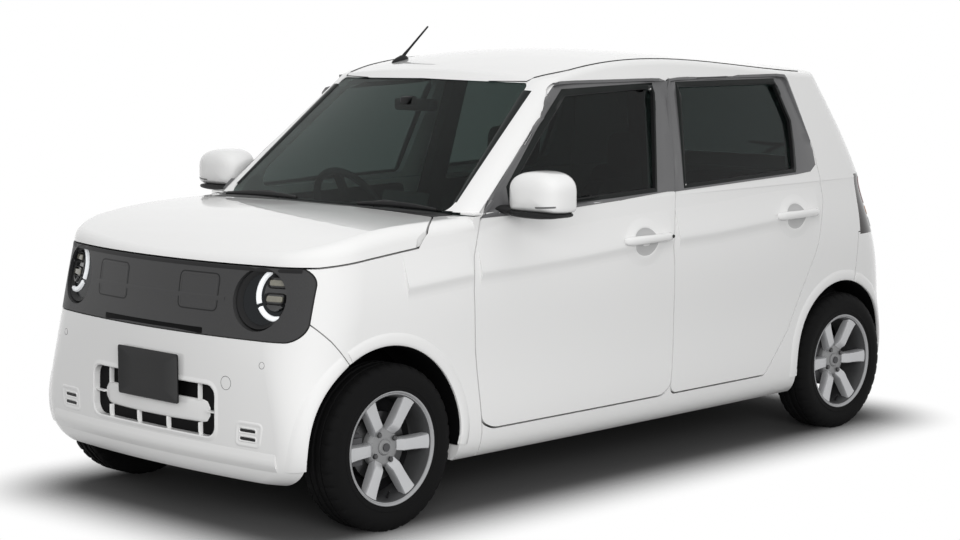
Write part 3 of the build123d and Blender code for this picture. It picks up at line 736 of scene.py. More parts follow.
# edge: node it lies on, arch, first and last angle
ARCH_EDGES = {
    "fender": ("front_fenders", FRONT_ARCH, -24, 120.2),
    "nose": ("front_bumper", FRONT_ARCH, 121.4, 206),
    "side": ("body_sides", REAR_ARCH, 74.2, 206),
    "tail": ("rear_bumper", REAR_ARCH, -28, 72.8),
}
ARCH_SECTION = [
    (0.0005, 0.003), (0.004, 0.0055), (0.012, 0.006), (0.028, 0.0052), (0.036, 0.0026), (0.042, 0.0001),
]
# liner: nodes it lies inside, arch
LINERS = {
    "front": (("front_fenders", "front_bumper"), FRONT_ARCH),
    "rear": (("body_sides", "rear_bumper"), REAR_ARCH),
}
LINER_ANGLES = (-12, 192)
LINER_INSIDE = 0.56
LINER_WALL = 0.0025
LINER_BACK = 0.004
RIM_TEST = 0.006


def arch_line(arch, count, first, last):
    """Points along a wheel arch."""
    middle, radius = arch
    return ellipse(side_at([middle])[0], radius / 1000, radius / 1000, count, radians(first), radians(last))


def arch_liner(name, body, skins, arch):
    """Dark band just inside a wheel arch, near-black as a liner and as a painted shade of the wheelhouse."""
    middle = Vector(side_at([arch[0]])[0])
    rows = []
    for a, b in arch_line(arch, 60, *LINER_ANGLES):
        out = (Vector((a, b)) - middle).normalized()
        beyond = (a + out.x * RIM_TEST, b + out.y * RIM_TEST)
        rims = [skin.point(*beyond).x for skin in skins if skin.hits(*beyond)]
        if not rims:
            continue
        face = max(rims) - LINER_BACK
        section = ((face, 0.0), (face, LINER_WALL), (LINER_INSIDE, LINER_WALL), (LINER_INSIDE, 0.0))
        rows.append([(x, a - out.x * inward, b - out.y * inward) for x, inward in section])
    return loft(name, body, "void", [rows], smooth=40)


for label, (node, arch, first, last) in ARCH_EDGES.items():
    arc = arch_line(arch, 72, first, last)
    pair(strip, "arch_edge_" + label, BODY, "paint", Skin("side", node), arc, ARCH_SECTION, sink=0.002)
for label, (nodes, arch) in LINERS.items():
    pair(arch_liner, "arch_liner_" + label, BODY, [Skin("side", node) for node in nodes], arch)

# Front: grille, plate, slits, sensors

bumper = Skin("front", "front_bumper")
mesh_skin = Skin("front", "lower_grille")
front_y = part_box("front_bumper")[0].y
opening = oblong(-328, 320, 328, 491, 0.04, 10)
GRILLE_FRAME = [(0.016, 0.0001), (0.010, 0.0018), (0.004, 0.003), (0.0, 0.001)]
band("grille_frame", BODY, "paint", bumper, opening, GRILLE_FRAME)

# bar across the grille, bowed like the bumper: half length, low and high edge, depth of its back and front
BAR_HALF = 0.283
BAR_LOW, BAR_HIGH = 0.357, 0.436
BAR_BACK, BAR_FRONT = 0.03, 0.004
BAR_END = 0.02
BAR_END_HEIGHT = 0.55
BOW, BOW_AT = 0.035, 0.33
bar_rows = []
for side in between(-1, 1, 40):
    x = BAR_HALF * side
    end = min(1.0, (BAR_HALF - abs(x)) / BAR_END)
    share = BAR_END_HEIGHT + (1 - BAR_END_HEIGHT) * (1 - (1 - end) ** 2) ** 0.5
    tall = (BAR_HIGH - BAR_LOW) / 2 * share
    middle_y = front_y + (BAR_FRONT + BAR_BACK) / 2 + BOW * (x / BOW_AT) ** 2
    bar_rows.append([
        (x, middle_y + (BAR_FRONT - BAR_BACK) / 2 * bent(cos(angle), 0.5),
         (BAR_LOW + BAR_HIGH) / 2 + tall * bent(sin(angle), 0.5))
        for angle in turns(16)
    ])
loft("grille_bar", BODY, "paint", [bar_rows], smooth=50)

RIB_SECTION = [(-0.0034, 0.013), (-0.002, 0.016), (0.002, 0.016), (0.0034, 0.013)]
rib_lines = [[(x, 434), (x, 493)] for x in (-241, 241)]
rib_lines += [[(x, 318), (x, 359)] for x in (-242, -80, 80, 242)]
rib_lines += [[(-330, 400), (-281, 400)], [(281, 400), (330, 400)]]
for number, ends in enumerate(rib_lines):
    line = spaced(end_at(ends), 8)
    rows = [beside(line, distance) for distance, lift in RIB_SECTION]
    lifts = [lift for distance, lift in RIB_SECTION]
    pad("grille_rib_%d" % number, BODY, "paint", mesh_skin, rows, lifts, closed=False)
MESH_HALF = 0.29
MESH_NEAR, MESH_FAR = front_y + 0.04, front_y + 0.048
for label, low, high in (("low", 0.336, 0.342), ("high", 0.460, 0.466)):
    corners = (-MESH_HALF, MESH_NEAR, low), (MESH_HALF, MESH_FAR, high)
    box_piece("grille_mesh_" + label, BODY, "black", *corners, radius=0.002)

# blank number plate: its edge as distances inwards with their depths, then its face
PLATE_Z = 0.495
PLATE_Y = front_y - 0.010
PLATE_EDGE = [(0.0024, 0.006), (0.0, 0.004), (0.0, 0.001), (0.0024, 0.0), (0.0056, 0.0008)]
PLATE_FACE = 0.0008
plate = oblong(-163, 412.5, 163, 577.5, 0.010, 6)


def nearer(value, middle, distance):
    """Value moved towards a middle."""
    return value - distance if value > middle else value + distance


plate_rows = []
for inset, depth in PLATE_EDGE:
    plate_rows.append([(nearer(x, 0, inset), PLATE_Y + depth, nearer(z, PLATE_Z, inset)) for x, z in plate])
for ring in shrunk(plate, (0.5, 0.05)):
    plate_rows.append([(x, PLATE_Y + PLATE_FACE, z) for x, z in ring])
loft("number_plate", BODY, "plate", [plate_rows], smooth=35)
box_piece("plate_holder", BODY, "black", (-0.12, PLATE_Y + 0.005, 0.43), (0.12, PLATE_Y + 0.030, 0.56),
          radius=0.006)

SLIT_RIM = [(0.0015, 0.0001), (0, 0.0016), (-0.0015, 0.0016), (-0.003, 0.0001)]
SLIT_PAD = [(0.004, 0.0001), (0, 0.0022), (-0.004, 0.0018), (-0.01, 0.0001)]
for number, z in enumerate((362, 335)):
    slit = oblong(447, z - 5, 515, z + 5, 0.005, 4)
    slit_rim = oblong(443, z - 9, 519, z + 9, 0.007, 4)
    pair(plug, "bumper_slit_%d" % number, BODY, "black", bumper, slit, height=0.0006, edge=0.0005)
    pair(band, "bumper_slit_rim_%d" % number, BODY, "paint", bumper, slit_rim, SLIT_RIM)
slit_pad = rounded(end_at([(425, 312), (532, 312), (546, 388), (432, 388)]), 0.018, 6)
pair(band, "bumper_pad", BODY, "paint", bumper, slit_pad, SLIT_PAD)
sensor = end_at([(532, 577)])[0]
button = ellipse(sensor, 0.0095, 0.0095, 28)
button_gap = ellipse(sensor, 0.0108, 0.0108, 28)
pair(plug, "parking_sensor", BODY, "paint", bumper, button, height=0.0012, edge=0.001)
pair(seam, "parking_sensor_line", BODY, "sash", bumper, button_gap, width=0.0014)
tow_line = ellipse(end_at([(379, 506)])[0], 0.0225, 0.022, 40)
seam("tow_cover_line", BODY, "sash", bumper, tow_line, width=0.0016)
chin = end_at([(x, 268) for x in between(-600, 600, 60)])
strip("bumper_lip", BODY, "paint", bumper, chin,
      [(-0.030, 0.0001), (-0.012, 0.0045), (0.0, 0.0065), (0.012, 0.005), (0.03, 0.0001)])

# Nose panel: lids, fold, slot
nose = Skin("front", "nose_panel")
lid = oblong(140, 733, 320, 853, 0.022, 8)
pair(seam, "charge_lid_line", BODY, "black", nose, lid, width=0.0045)
pair(band, "charge_lid_edge", BODY, "panel", nose, lid,
     [(-0.004, 0.0001), (-0.007, 0.0012), (-0.012, 0.0001)])
fold = end_at([(x, 778) for x in between(-351, 351, 40)])
strip("panel_fold", BODY, "panel", nose, fold,
      [(-0.006, 0.0001), (-0.002, 0.0012), (0.002, 0.0012), (0.012, 0.0001)])
SLOT = [(-262, 656), (-236, 656), (-228, 661), (228, 661), (236, 656), (262, 656), (262, 676), (-262, 676)]
# slot: a near-black pad on the panel, a painted shade for the inside of the slot
plug("nose_slot", BODY, "void", nose, rounded(end_at(SLOT), 0.004, 3), height=0.0006, edge=0.0006)
top_line = end_at([(x, 877) for x in between(-640, 640, 60)])
strip("panel_top_line", BODY, "black", nose, top_line,
      [(-0.006, 0.0004), (-0.003, 0.001), (0.003, 0.001), (0.006, 0.0004)])

# Headlamps: rim, light guides, projector and lit cells
lamp = Skin("front", "headlamps")
LAMP_RIM = [(0.0, 0.010), (-0.004, 0.014), (-0.012, 0.008), (-0.018, 0.0005)]
GUIDE_SECTION = [(-0.009, 0.002), (-0.006, 0.008), (0.0, 0.010), (0.006, 0.008), (0.009, 0.002)]
PROJECTOR_SECTION = [(1, 0.001), (0.94, 0.007), (0.88, 0.004), (0.5, 0.002), (0.1, 0.002)]
CELL_RIM = [(0.002, 0.003), (0, 0.010), (-0.003, 0.008)]
pair(band, "lamp_rim", BODY, "black", lamp, ellipse(end_at([(487, 782)])[0], 0.100, 0.100, 72), LAMP_RIM)
for label, first, last in (("high", 112, 206), ("low", 216, 302)):
    arc = ellipse(end_at([(541, 802)])[0], 0.075, 0.080, 36, radians(first), radians(last))
    pair(strip, "light_guide_" + label, BODY, "light_guide", lamp, arc, GUIDE_SECTION)
projector = ellipse(end_at([(536, 803)])[0], 0.048, 0.060, 56)
pair(dish, "projector", BODY, "gloss_black", lamp, projector, PROJECTOR_SECTION)
for number, (x, z) in enumerate(((533, 836), (530, 785))):
    cell = oblong(x - 29, z - 11, x + 29, z + 9, 0.007, 5)
    cell_rim = oblong(x - 34, z - 17, x + 34, z + 17, 0.012, 5)
    pair(plug, "lamp_cell_%d" % number, BODY, "led", lamp, cell, height=0.010, edge=0.003)
    pair(band, "lamp_cell_rim_%d" % number, BODY, "black", lamp, cell_rim, CELL_RIM)

# Wheels: millimetres out from the wheel's middle and from its axis; the tyre's third number is a cross cut

TYRE_HALF = [
    (64, 178.5, 0), (70, 184, 0), (73.5, 196, 0), (75, 204, 0), (76.2, 205, 0), (76.4, 209, 0),
    (75.6, 210, 0), (77, 224, 0), (77.5, 236, 0), (76, 248, 0), (73.5, 256, 1.5), (70.5, 263.5, 4),
    (64, 271, 5), (56, 276.5, 5), (47, 278.2, 5), (33, 278.4, 2), (31.5, 272, 0), (25.5, 272, 0),
    (24, 278.5, 2), (9, 278.5, 2), (7.5, 272, 0),
]
TYRE = [(-x, r, cut) for x, r, cut in TYRE_HALF] + TYRE_HALF[::-1]
RIM = [
    (66, 176), (48, 170), (10, 165), (-58, 167), (-69, 178), (-74, 186), (-74, 190), (-70, 190), (-66, 178.3),
    (66, 178.3),
]
LIP = [(74, 190), (74.6, 188), (73, 184.5), (68, 181), (64, 178.8), (68, 178.8), (70, 190)]
HUB = [(39, 0.5), (39, 24), (37, 27), (34, 28), (34, 54), (31, 61), (24, 68), (16, 72), (5, 72), (5, 0.5)]
CAP = [(42, 0.5), (41.6, 14), (40.5, 23), (38, 25.5), (30, 25.5), (30, 0.5)]
DISC = [(2, 60), (2, 115), (-4, 116), (-8, 116), (-14, 115), (-14, 60)]
DRUM = [(4, 40), (4, 92), (0, 103), (-6, 106), (-40, 106), (-40, 40)]
SHIELD = [(-20, 40), (-20, 150), (-16, 158), (-19, 160), (-24, 152), (-24, 40)]
# spoke: distance from the axis, half width, height of its face, height of its back
SPOKE = [
    (54, 20, 35, 16), (63, 21, 41, 17), (72, 21.5, 50, 18), (80, 21.5, 53, 18), (110, 22, 56, 22),
    (145, 24, 60, 28), (166, 26, 63, 36), (177, 29, 65, 42),
]
SPOKE_COUNT = 6
NUT = [(0.032, 0.0095), (0.040, 0.0095), (0.0425, 0.0075), (0.0435, 0.003)]
NUT_COUNT = 4
NUT_CIRCLE = 0.05
NUT_START = 30
VALVE = [Vector((0.044, 0, -0.166)), Vector((0.050, 0, -0.156)), Vector((0.058, 0, -0.144))]
CALIPER = Vector((0, -0.118, 0.004))
CALIPER_LOW, CALIPER_HIGH = Vector((-0.03, -0.032, -0.055)), Vector((0.012, 0.034, 0.055))
PIN_ENDS = (-0.034, 0.018)


def bare(profile):
    """Outline without cross cuts."""
    return [(x, r, 0) for x, r in profile]


def spokes(name, body, centre):
    """Raised straight spokes with chamfered edges."""
    solids = []
    for angle in turns(SPOKE_COUNT):
        rows = []
        for r, half, face, back in SPOKE:
            edge = [(half * 0.4, face), (half * 0.84, face - 1), (half, face - 6), (half * 1.05, back)]
            section = [(-t, x) for t, x in edge[::-1]] + edge
            rows.append([
                (centre.x + x / 1000,
                 centre.y + (r * cos(angle) - t * sin(angle)) / 1000,
                 centre.z + (r * sin(angle) + t * cos(angle)) / 1000)
                for t, x in section
            ])
        solids.append(rows)
    return loft(name, body, "alloy", solids, smooth=40)


def nuts(name, body, centre):
    """Wheel nuts in their wells."""
    solids = []
    for turn in turns(NUT_COUNT):
        angle = radians(NUT_START) + turn
        middle = centre + Vector((0, NUT_CIRCLE * cos(angle), NUT_CIRCLE * sin(angle)))
        solids.append([
            [middle + Vector((x, r * cos(corner), r * sin(corner))) for corner in turns(6)] for x, r in NUT
        ])
    return loft(name, body, "brake", solids, smooth=30)


for place, centre in WHEEL_AT.items():
    wheel = "wheel_%s_SIDE" % place
    tyres = pair(lathe, "tread_" + place, wheel, "rubber", centre, TYRE, steps=180, cut_every=5)
    # the rim takes the near-black barrel finish, a painted shade inside the wheel
    rims = pair(lathe, "rim_" + place, wheel, "barrel", centre, bare(RIM), steps=96)
    for number, side in enumerate(SIDES):
        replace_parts(tyres[number], "tyre_%s_%s" % (place, side))
        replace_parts(rims[number], "wheel_%s_%s" % (place, side))
    pair(lathe, "rim_lip_" + place, wheel, "lip", centre, bare(LIP), steps=96)
    pair(lathe, "hub_" + place, wheel, "hub", centre, bare(HUB), steps=72)
    pair(lathe, "cap_" + place, wheel, "hub", centre, bare(CAP), steps=48)
    pair(spokes, "spokes_" + place, wheel, centre)
    pair(nuts, "nuts_" + place, wheel, centre)
    valve = [centre + point for point in VALVE]
    pair(tube, "valve_" + place, wheel, "black", valve, round_sizes(0.005, 0.004, 0.004), count=10)
pair(lathe, "rotor_front", "wheel_front_SIDE", "brake", WHEEL_AT["front"], bare(DISC), steps=72)
pair(lathe, "rotor_rear", "wheel_rear_SIDE", "iron", WHEEL_AT["rear"], bare(DRUM), steps=72)
pair(lathe, "brake_shield", "knuckle_SIDE", "steel", WHEEL_AT["front"], bare(SHIELD), steps=64)
caliper = WHEEL_AT["front"] + CALIPER
pair(box_piece, "caliper", "knuckle_SIDE", "iron", caliper + CALIPER_LOW, caliper + CALIPER_HIGH,
     radius=0.012)
for number, z in enumerate((-0.045, 0.045)):
    pin = [caliper + Vector((x, -0.012, z)) for x in PIN_ENDS]
    pair(tube, "caliper_pin_%d" % number, "knuckle_SIDE", "brake", pin, round_sizes(0.009, 0.009), count=12)

# Door mirrors: white cap, black base and foot, glass

# shell: middle, half sizes, roundness of its upper and lower half; rows: place, size, shift upwards
CAP_SHELL = ((838, 1092), (116, 70), (2.5, 9.0))
BASE_SHELL = ((833, 1016), (113, 13), (3.0, 2.4))
CAP_ROWS = [
    (512, 0.22, -4), (514, 0.42, -4), (519, 0.62, -3), (528, 0.79, -2), (542, 0.91, -1), (560, 0.97, 0),
    (590, 1.0, 0), (628, 1.0, 0), (638, 0.985, 0), (640, 0.96, 0), (638, 0.93, 0), (626, 0.91, 0),
]
BASE_ROWS = [(522, 0.5, 2), (526, 0.75, 1), (536, 0.92, 0), (560, 1.0, 0), (625, 1.0, 0), (634, 0.96, 0)]
GLASS_ROWS = [(622, 0.90, 0), (629, 0.90, 0), (630, 0.88, 0)]
MIRROR_FOOT = [(655, 560, 1024), (690, 566, 1024), (735, 574, 1024), (790, 578, 1024)]
MIRROR_FOOT_SIZES = [(0.05, 0.02), (0.042, 0.016), (0.034, 0.014), (0.03, 0.012)]
FRONT_DOOR = "door_front_SIDE"


def mirror_shell(name, body, look, shell, rows):
    """Rounded housing built from upright outlines set one behind another."""
    middle, half, powers = shell
    outlines = []
    for y, scale, shift in rows:
        outline = []
        for angle in turns(48):
            power = 2 / (powers[0] if sin(angle) > 0 else powers[1])
            x = middle[0] + half[0] * scale * bent(cos(angle), power)
            z = middle[1] + shift + half[1] * scale * bent(sin(angle), power)
            outline.append(car_at(x, y, z))
        outlines.append(outline)
    return loft(name, body, look, [outlines], smooth=50)


caps = pair(mirror_shell, "mirror_cap", FRONT_DOOR, "paint", CAP_SHELL, CAP_ROWS)
for number, side in enumerate(SIDES):
    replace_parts(caps[number], "mirror_" + side)
pair(mirror_shell, "mirror_base", FRONT_DOOR, "black", BASE_SHELL, BASE_ROWS)
pair(mirror_shell, "mirror_glass", FRONT_DOOR, "silver", CAP_SHELL, GLASS_ROWS)
foot_path = [car_at(*point) for point in MIRROR_FOOT]
pair(tube, "mirror_foot", FRONT_DOOR, "black", foot_path, MIRROR_FOOT_SIZES, count=20)
signal = end_at(zip(between(872, 944, 20), between(1044, 1048, 20)))
pair(strip, "mirror_signal", FRONT_DOOR, "sash", Skin("front", caps[0]), signal,
     [(-0.003, 0.0004), (0, 0.001), (0.003, 0.0004)])

# Roof: seams, and the aerial

SEAM_END = 0.02
SEAM_INSET = 0.001
SEAM_LIFT = 0.0005
roof = Skin("top", "roof")
roof_low, roof_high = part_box("roof")
seam_path = []
for y in between(roof_low.y + SEAM_END, roof_high.y - SEAM_END, 48):
    reach = [x / 1000 for x in range(700, 300, -1) if roof.hits(x / 1000, y)]
    if reach:
        seam_path.append(roof.point(reach[0] - SEAM_INSET, y) + Vector((0, 0, SEAM_LIFT)))
pair(tube, "roof_seam", BODY, "black", seam_path, [(0.003, 0.002)] * len(seam_path), count=10)

AERIAL_FOOT = car_at(-345, 1062, 1512)
AERIAL_ROD = Vector((0, 0.766, 0.643))
# along the foot: place, half width and half height
AERIAL_STANDS = [(-46, 3, 3), (-38, 9, 9), (-20, 14, 15), (4, 15, 20), (22, 13, 18), (34, 8, 11), (38, 3, 5)]
# along the rod: distance and radius
AERIAL_RADII = [
    (0.005, 0.0065), (0.03, 0.0062), (0.06, 0.0046), (0.19, 0.0036), (0.192, 0.003), (0.194, 0.001),
]
foot_line = [roof.point(AERIAL_FOOT.x, AERIAL_FOOT.y + along / 1000) for along, wide, tall in AERIAL_STANDS]
foot_sizes = [(wide / 1000, tall / 1000) for along, wide, tall in AERIAL_STANDS]
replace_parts(tube("antenna_foot", BODY, "black", foot_line, foot_sizes, count=24), "antenna")
rod_line = [AERIAL_FOOT + AERIAL_ROD * reach for reach, radius in AERIAL_RADII]
rod_sizes = round_sizes(*[radius for reach, radius in AERIAL_RADII])
tube("antenna_rod", BODY, "black", rod_line, rod_sizes, up=(1, 0, 0))

# Windshield: wipers, and the dark edge of the glass on the pillars

# wiper: first and last point of the blade, pivot of the arm
WIPERS = {
    "driver": ((-523, 334, 1024), (-116, 326, 1032), (-232, 336, 1020)),
    "other": ((205, 326, 1031), (548, 376, 1026), (277, 336, 1020)),
}
BLADE_BOW = Vector((0, -0.006, 0.008))
BLADE_STEPS = 12
ARM_SIZES = [(0.012, 0.012), (0.010, 0.009), (0.007, 0.006), (0.005, 0.005)]


def blade_sizes(count, wide, tall):
    """Half sizes of a wiper blade, which is lower towards its ends."""
    return [(wide, tall * (0.4 + 0.6 * sin(pi * (i + 1) / (count + 1)))) for i in range(count)]


for label, ends in WIPERS.items():
    first, last, pivot = [car_at(*point) for point in ends]
    blade = [first.lerp(last, share) + BLADE_BOW * sin(pi * share) for share in between(0, 1, BLADE_STEPS)]
    tube("wiper_blade_" + label, BODY, "black", blade, blade_sizes(BLADE_STEPS + 1, 0.006, 0.010), count=10)
    middle = blade[BLADE_STEPS // 2] + Vector((0, 0.004, 0.006))
    arm = [pivot, pivot + Vector((0, 0, 0.014)), pivot.lerp(middle, 0.5) + Vector((0, 0, 0.012)), middle]
    tube("wiper_arm_" + label, BODY, "black", arm, ARM_SIZES, count=12)

SCREEN_EDGE = [(581, 1050), (494, 1416)]
SCREEN_EDGE_WIDTH = (7, 30)
SCREEN_EDGE_LIFTS = [0.0004, 0.0018, 0.0012, 0.0003]
edge_line = spaced(end_at(SCREEN_EDGE), 24)
widths = between(*SCREEN_EDGE_WIDTH, len(edge_line) - 1)
edge_out = [(a + width / 1000, b) for (a, b), width in zip(edge_line, widths)]
screen_rows = [beside(edge_line, -0.008), beside(edge_line, 0.0025)]
screen_rows += [all_mixed(screen_rows[-1], edge_out, 0.5), edge_out]
screen_side = Skin("front", "body_sides", "windshield")
pair(pad, "screen_edge", BODY, "glass_edge", screen_side, screen_rows, SCREEN_EDGE_LIFTS, closed=False)

# Inside: mirror, dash screen and seats

box_piece("inside_mirror", BODY, "black", car_at(-100, 790, 1330), car_at(100, 830, 1375), radius=0.012)
box_piece("mirror_stem", BODY, "black", car_at(-20, 745, 1350), car_at(20, 800, 1385), radius=0.008)
box_piece("dash_screen", BODY, "gloss_black", car_at(-120, 735, 900), car_at(120, 757, 1035), radius=0.010,
          turn=Matrix.Rotation(radians(-12), 3, "X"))

CLOTH_REACH = 0.008
CLOTH_PRESSURE = 4
CLOTH_FRAMES = 20
SEAT_MIDDLES = (-325, 325)
# cushion: low and high corner, crown of its faces, lean backwards
FRONT_CUSHIONS = [
    ((-165, 1050, 345), (165, 1540, 505), 0.16, 0),
    ((-222, 1070, 350), (-150, 1530, 520), 0.24, 0),
    ((150, 1070, 350), (222, 1530, 520), 0.24, 0),
    ((-160, 1485, 480), (160, 1592, 1055), 0.14, 0.24),
    ((-218, 1470, 500), (-148, 1590, 1030), 0.22, 0.24),
    ((148, 1470, 500), (218, 1590, 1030), 0.22, 0.24),
    ((-125, 1632, 1070), (125, 1715, 1228), 0.2, 0.05),
    ((-190, 1080, 245), (190, 1500, 360), 0.1, 0),
]
REAR_CUSHIONS = [
    ((-505, 1862, 432), (-8, 2330, 524), 0.14, 0),
    ((8, 1862, 432), (505, 2330, 524), 0.14, 0),
    ((-505, 2292, 434), (-8, 2390, 1050), 0.12, 0.05),
    ((8, 2292, 434), (505, 2390, 1050), 0.12, 0.05),
    ((-505, 1875, 340), (505, 2072, 436), 0.06, 0),
]


def cushion(maker, low, high, crown, lean):
    """Adds a crowned cushion, leaning backwards from its foot."""
    middle, half = (low + high) / 2, (high - low) / 2
    block = bmesh.new()
    bmesh.ops.create_cube(block, size=2.0)
    bmesh.ops.subdivide_edges(block, edges=block.edges[:], cuts=9, use_grid_fill=True)
    for vert in block.verts:
        p = vert.co.copy()
        for axis in range(3):
            a, b = [k for k in range(3) if k != axis]
            vert.co[axis] = p[axis] * (1 - crown * (p[a] ** 4 + p[b] ** 4) / 2)
        vert.co = Vector([vert.co[k] * half[k] for k in range(3)])
        vert.co += middle
        vert.co.y += (vert.co.z - low.z) * lean
    block_mesh = bpy.data.meshes.new("cushion")
    block.to_mesh(block_mesh)
    block.free()
    maker.from_mesh(block_mesh)
    bpy.data.meshes.remove(block_mesh)


def padded(name, node, cushions, middles):
    """Cushions of one seat row about the middle of each seat, filled out as cloth."""
    maker = bmesh.new()
    for x in middles:
        for low, high, crown, lean in cushions:
            cushion(maker, car_at(x + low[0], *low[1:]), car_at(x + high[0], *high[1:]), crown, lean)
    piece = add_piece(name, BODY, "cloth", maker, smooth=60)
    cloth = piece.modifiers.new("cloth", "CLOTH")
    cloth.settings.use_pressure = True
    cloth.settings.uniform_pressure_force = CLOTH_PRESSURE
    cloth.settings.effector_weights.gravity = 0
    for number in range(1, CLOTH_FRAMES + 1):
        scene.frame_set(number)
    shaped = piece.evaluated_get(bpy.context.evaluated_depsgraph_get()).to_mesh()
    filled = [v.co.copy() for v in shaped.vertices]
    piece.modifiers.remove(cloth)
    for vert, place in zip(piece.data.vertices, filled):
        step = place - vert.co
        if step.length > CLOTH_REACH:
            step *= CLOTH_REACH / step.length
        vert.co += step
    scene.frame_set(1)
    piece.modifiers.new("smooth", "SUBSURF").levels = 1
    piece.modifiers["smooth"].render_levels = 1
    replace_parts(piece, node)


padded("front_seat_covers", "front_seats", FRONT_CUSHIONS, SEAT_MIDDLES)
padded("rear_seat_covers", "rear_seat", REAR_CUSHIONS, (0,))

# Inside of the doors: trim, insert, arm rest and pull

# door: outline of the trim, first and last point of the arm rest
CARDS = {
    "front": ([(500, 345), (478, 560), (474, 760), (500, 890), (560, 985), (1372, 1000), (1372, 830),
               (1372, 480), (1352, 345)], 760, 1180),
    "rear": ([(1490, 345), (1500, 480), (1502, 830), (1545, 1000), (2190, 1010), (2270, 930), (2230, 768),
              (2060, 480), (1960, 345)], 1600, 1980),
}
CARD_EDGE = [(0.0, 0.001), (-0.004, 0.006), (-0.012, 0.009)]
CARD_INSET = 0.02
CARD_SHARES = (1, 0.8, 0.55, 0.3, 0.08)
REST_SIZES = [(0.022 * (0.5 + 0.5 * sin(pi * (i + 1) / 12) ** 0.4), 0.026) for i in range(11)]
PULL_REACH = [Vector((0, 0, 0)), Vector((-0.004, 0.05, 0)), Vector((-0.003, 0.10, 0))]
PULL_SIZES = [(0.005, 0.012), (0.005, 0.012), (0.003, 0.008)]
OFF_TRIM = Vector((-0.016, 0, 0))
for place, (outline, first, last) in CARDS.items():
    door = "door_%s_SIDE" % place
    skin = Skin("inside", "door_%s_left" % place)
    card = rounded(side_at(outline), 0.05, 8)
    pair(raised, "door_card_" + place, door, "cabin", skin, card, CARD_EDGE, CARD_INSET, CARD_SHARES,
         height=0.010, smooth=50)
    corners = [(first - 130, 790), (last + 100, 800), (last + 90, 930), (first - 90, 925)]
    insert = rounded(side_at(corners), 0.04, 6)
    pair(plug, "door_insert_" + place, door, "cloth", skin, insert, height=0.013, edge=0.006)
    rest = [skin.point(y, z) + OFF_TRIM for y, z in side_at([(y, 690) for y in between(first, last, 10)])]
    pair(tube, "arm_rest_" + place, door, "cabin", rest, REST_SIZES, count=16)
    catch = skin.point(*side_at([(first - 20, 860)])[0]) + OFF_TRIM
    pull = [catch + reach for reach in PULL_REACH]
    pair(tube, "door_pull_" + place, door, "alloy", pull, PULL_SIZES, count=14)

# Rear: lamps, rail with its grip, plate lights, wiper, reflectors

# lens: look, corners
LENSES = {
    "lens_red": ("red_lamp", [(604, 905), (672, 905), (660, 1020), (596, 1020)]),
    "lens_amber": ("amber", [(608, 858), (676, 858), (673, 896), (605, 896)]),
    "lens_clear": ("lens", [(612, 806), (680, 806), (677, 849), (609, 849)]),
}
tail = Skin("rear", "tail_lamps")
for label, (look, corners) in LENSES.items():
    outline = rounded(end_at(corners), 0.014, 6)
    pair(plug, label, BODY, look, tail, outline, height=0.0022, edge=0.004)

gate = Skin("rear", "tailgate")
stop_lamp = oblong(-130, 1432, 130, 1450, 0.007, 5)
plug("stop_lamp", "tailgate", "red_lamp", gate, stop_lamp, height=0.005, edge=0.003)
rail = rounded(end_at([(-235, 806), (235, 806), (225, 846), (-225, 846)]), 0.016, 6)
RAIL_EDGE = [(0.0, 0.001), (-0.004, 0.010), (-0.010, 0.014)]
raised("gate_rail", "tailgate", "paint", gate, rail, RAIL_EDGE, inset=0.014, shares=(0.9, 0.5, 0.1),
       height=0.0145, smooth=50)
grip = oblong(-70, 808, 70, 822, 0.005, 4)
plug("gate_grip", "tailgate", "black", gate, grip, height=0.0155, edge=0.002)
for number, x in enumerate((-130, 130)):
    shade = oblong(x - 28, 808, x + 28, 818, 0.004, 4)
    plug("plate_light_%d" % number, "tailgate", "lens", gate, shade, height=0.0152, edge=0.002)

REAR_BLADE = [(20, 1128), (170, 1120), (360, 1134)]
REAR_BLADE_POINTS = 11
REAR_ARM_SIZES = [(0.018, 0.018), (0.014, 0.014), (0.009, 0.008), (0.006, 0.006)]
pane = Skin("rear", "rear_window")
blade_line = end_at(spaced(REAR_BLADE, REAR_BLADE_POINTS))
blade = [pane.point(*point) + Vector((0, 0.014, 0.004)) for point in blade_line]
tube("rear_wiper_blade", "tailgate", "black", blade, blade_sizes(REAR_BLADE_POINTS, 0.006, 0.009), count=10)
pivot = gate.point(0.0, 1.062)
arm = [pivot + Vector(reach) for reach in ((0, 0.002, 0), (0, 0.024, 0.002), (0.08, 0.026, 0.028))]
arm.append(blade[REAR_BLADE_POINTS // 2] + Vector((0, 0.010, 0)))
tube("rear_wiper_arm", "tailgate", "black", arm, REAR_ARM_SIZES, count=14, up=(1, 0, 0.3))

rear_skin = Skin("rear", "rear_bumper")
reflector = oblong(500, 420, 600, 444, 0.010, 5)
pair(plug, "reflector", BODY, "red_lamp", rear_skin, reflector, height=0.003, edge=0.003)
rear_lip = end_at([(x, 300) for x in between(-560, 560, 48)])
strip("rear_lip", BODY, "paint", rear_skin, rear_lip,
      [(-0.035, 0.0001), (-0.015, 0.004), (0.0, 0.006), (0.012, 0.0045), (0.03, 0.0001)])

# Camera and room

camera_data = bpy.data.cameras.new("camera")
camera_data.lens = CAMERA_LENS
camera = bpy.data.objects.new("camera", camera_data)
camera.location = (CAMERA_PLACE[0], AXLE_Y + CAMERA_PLACE[1], CAMERA_PLACE[2])
camera.rotation_euler = (pi / 2 - CAMERA_TILT, 0, CAMERA_YAW)
scene.collection.objects.link(camera)
scene.camera = camera
scene.view_settings.view_transform = "Standard"

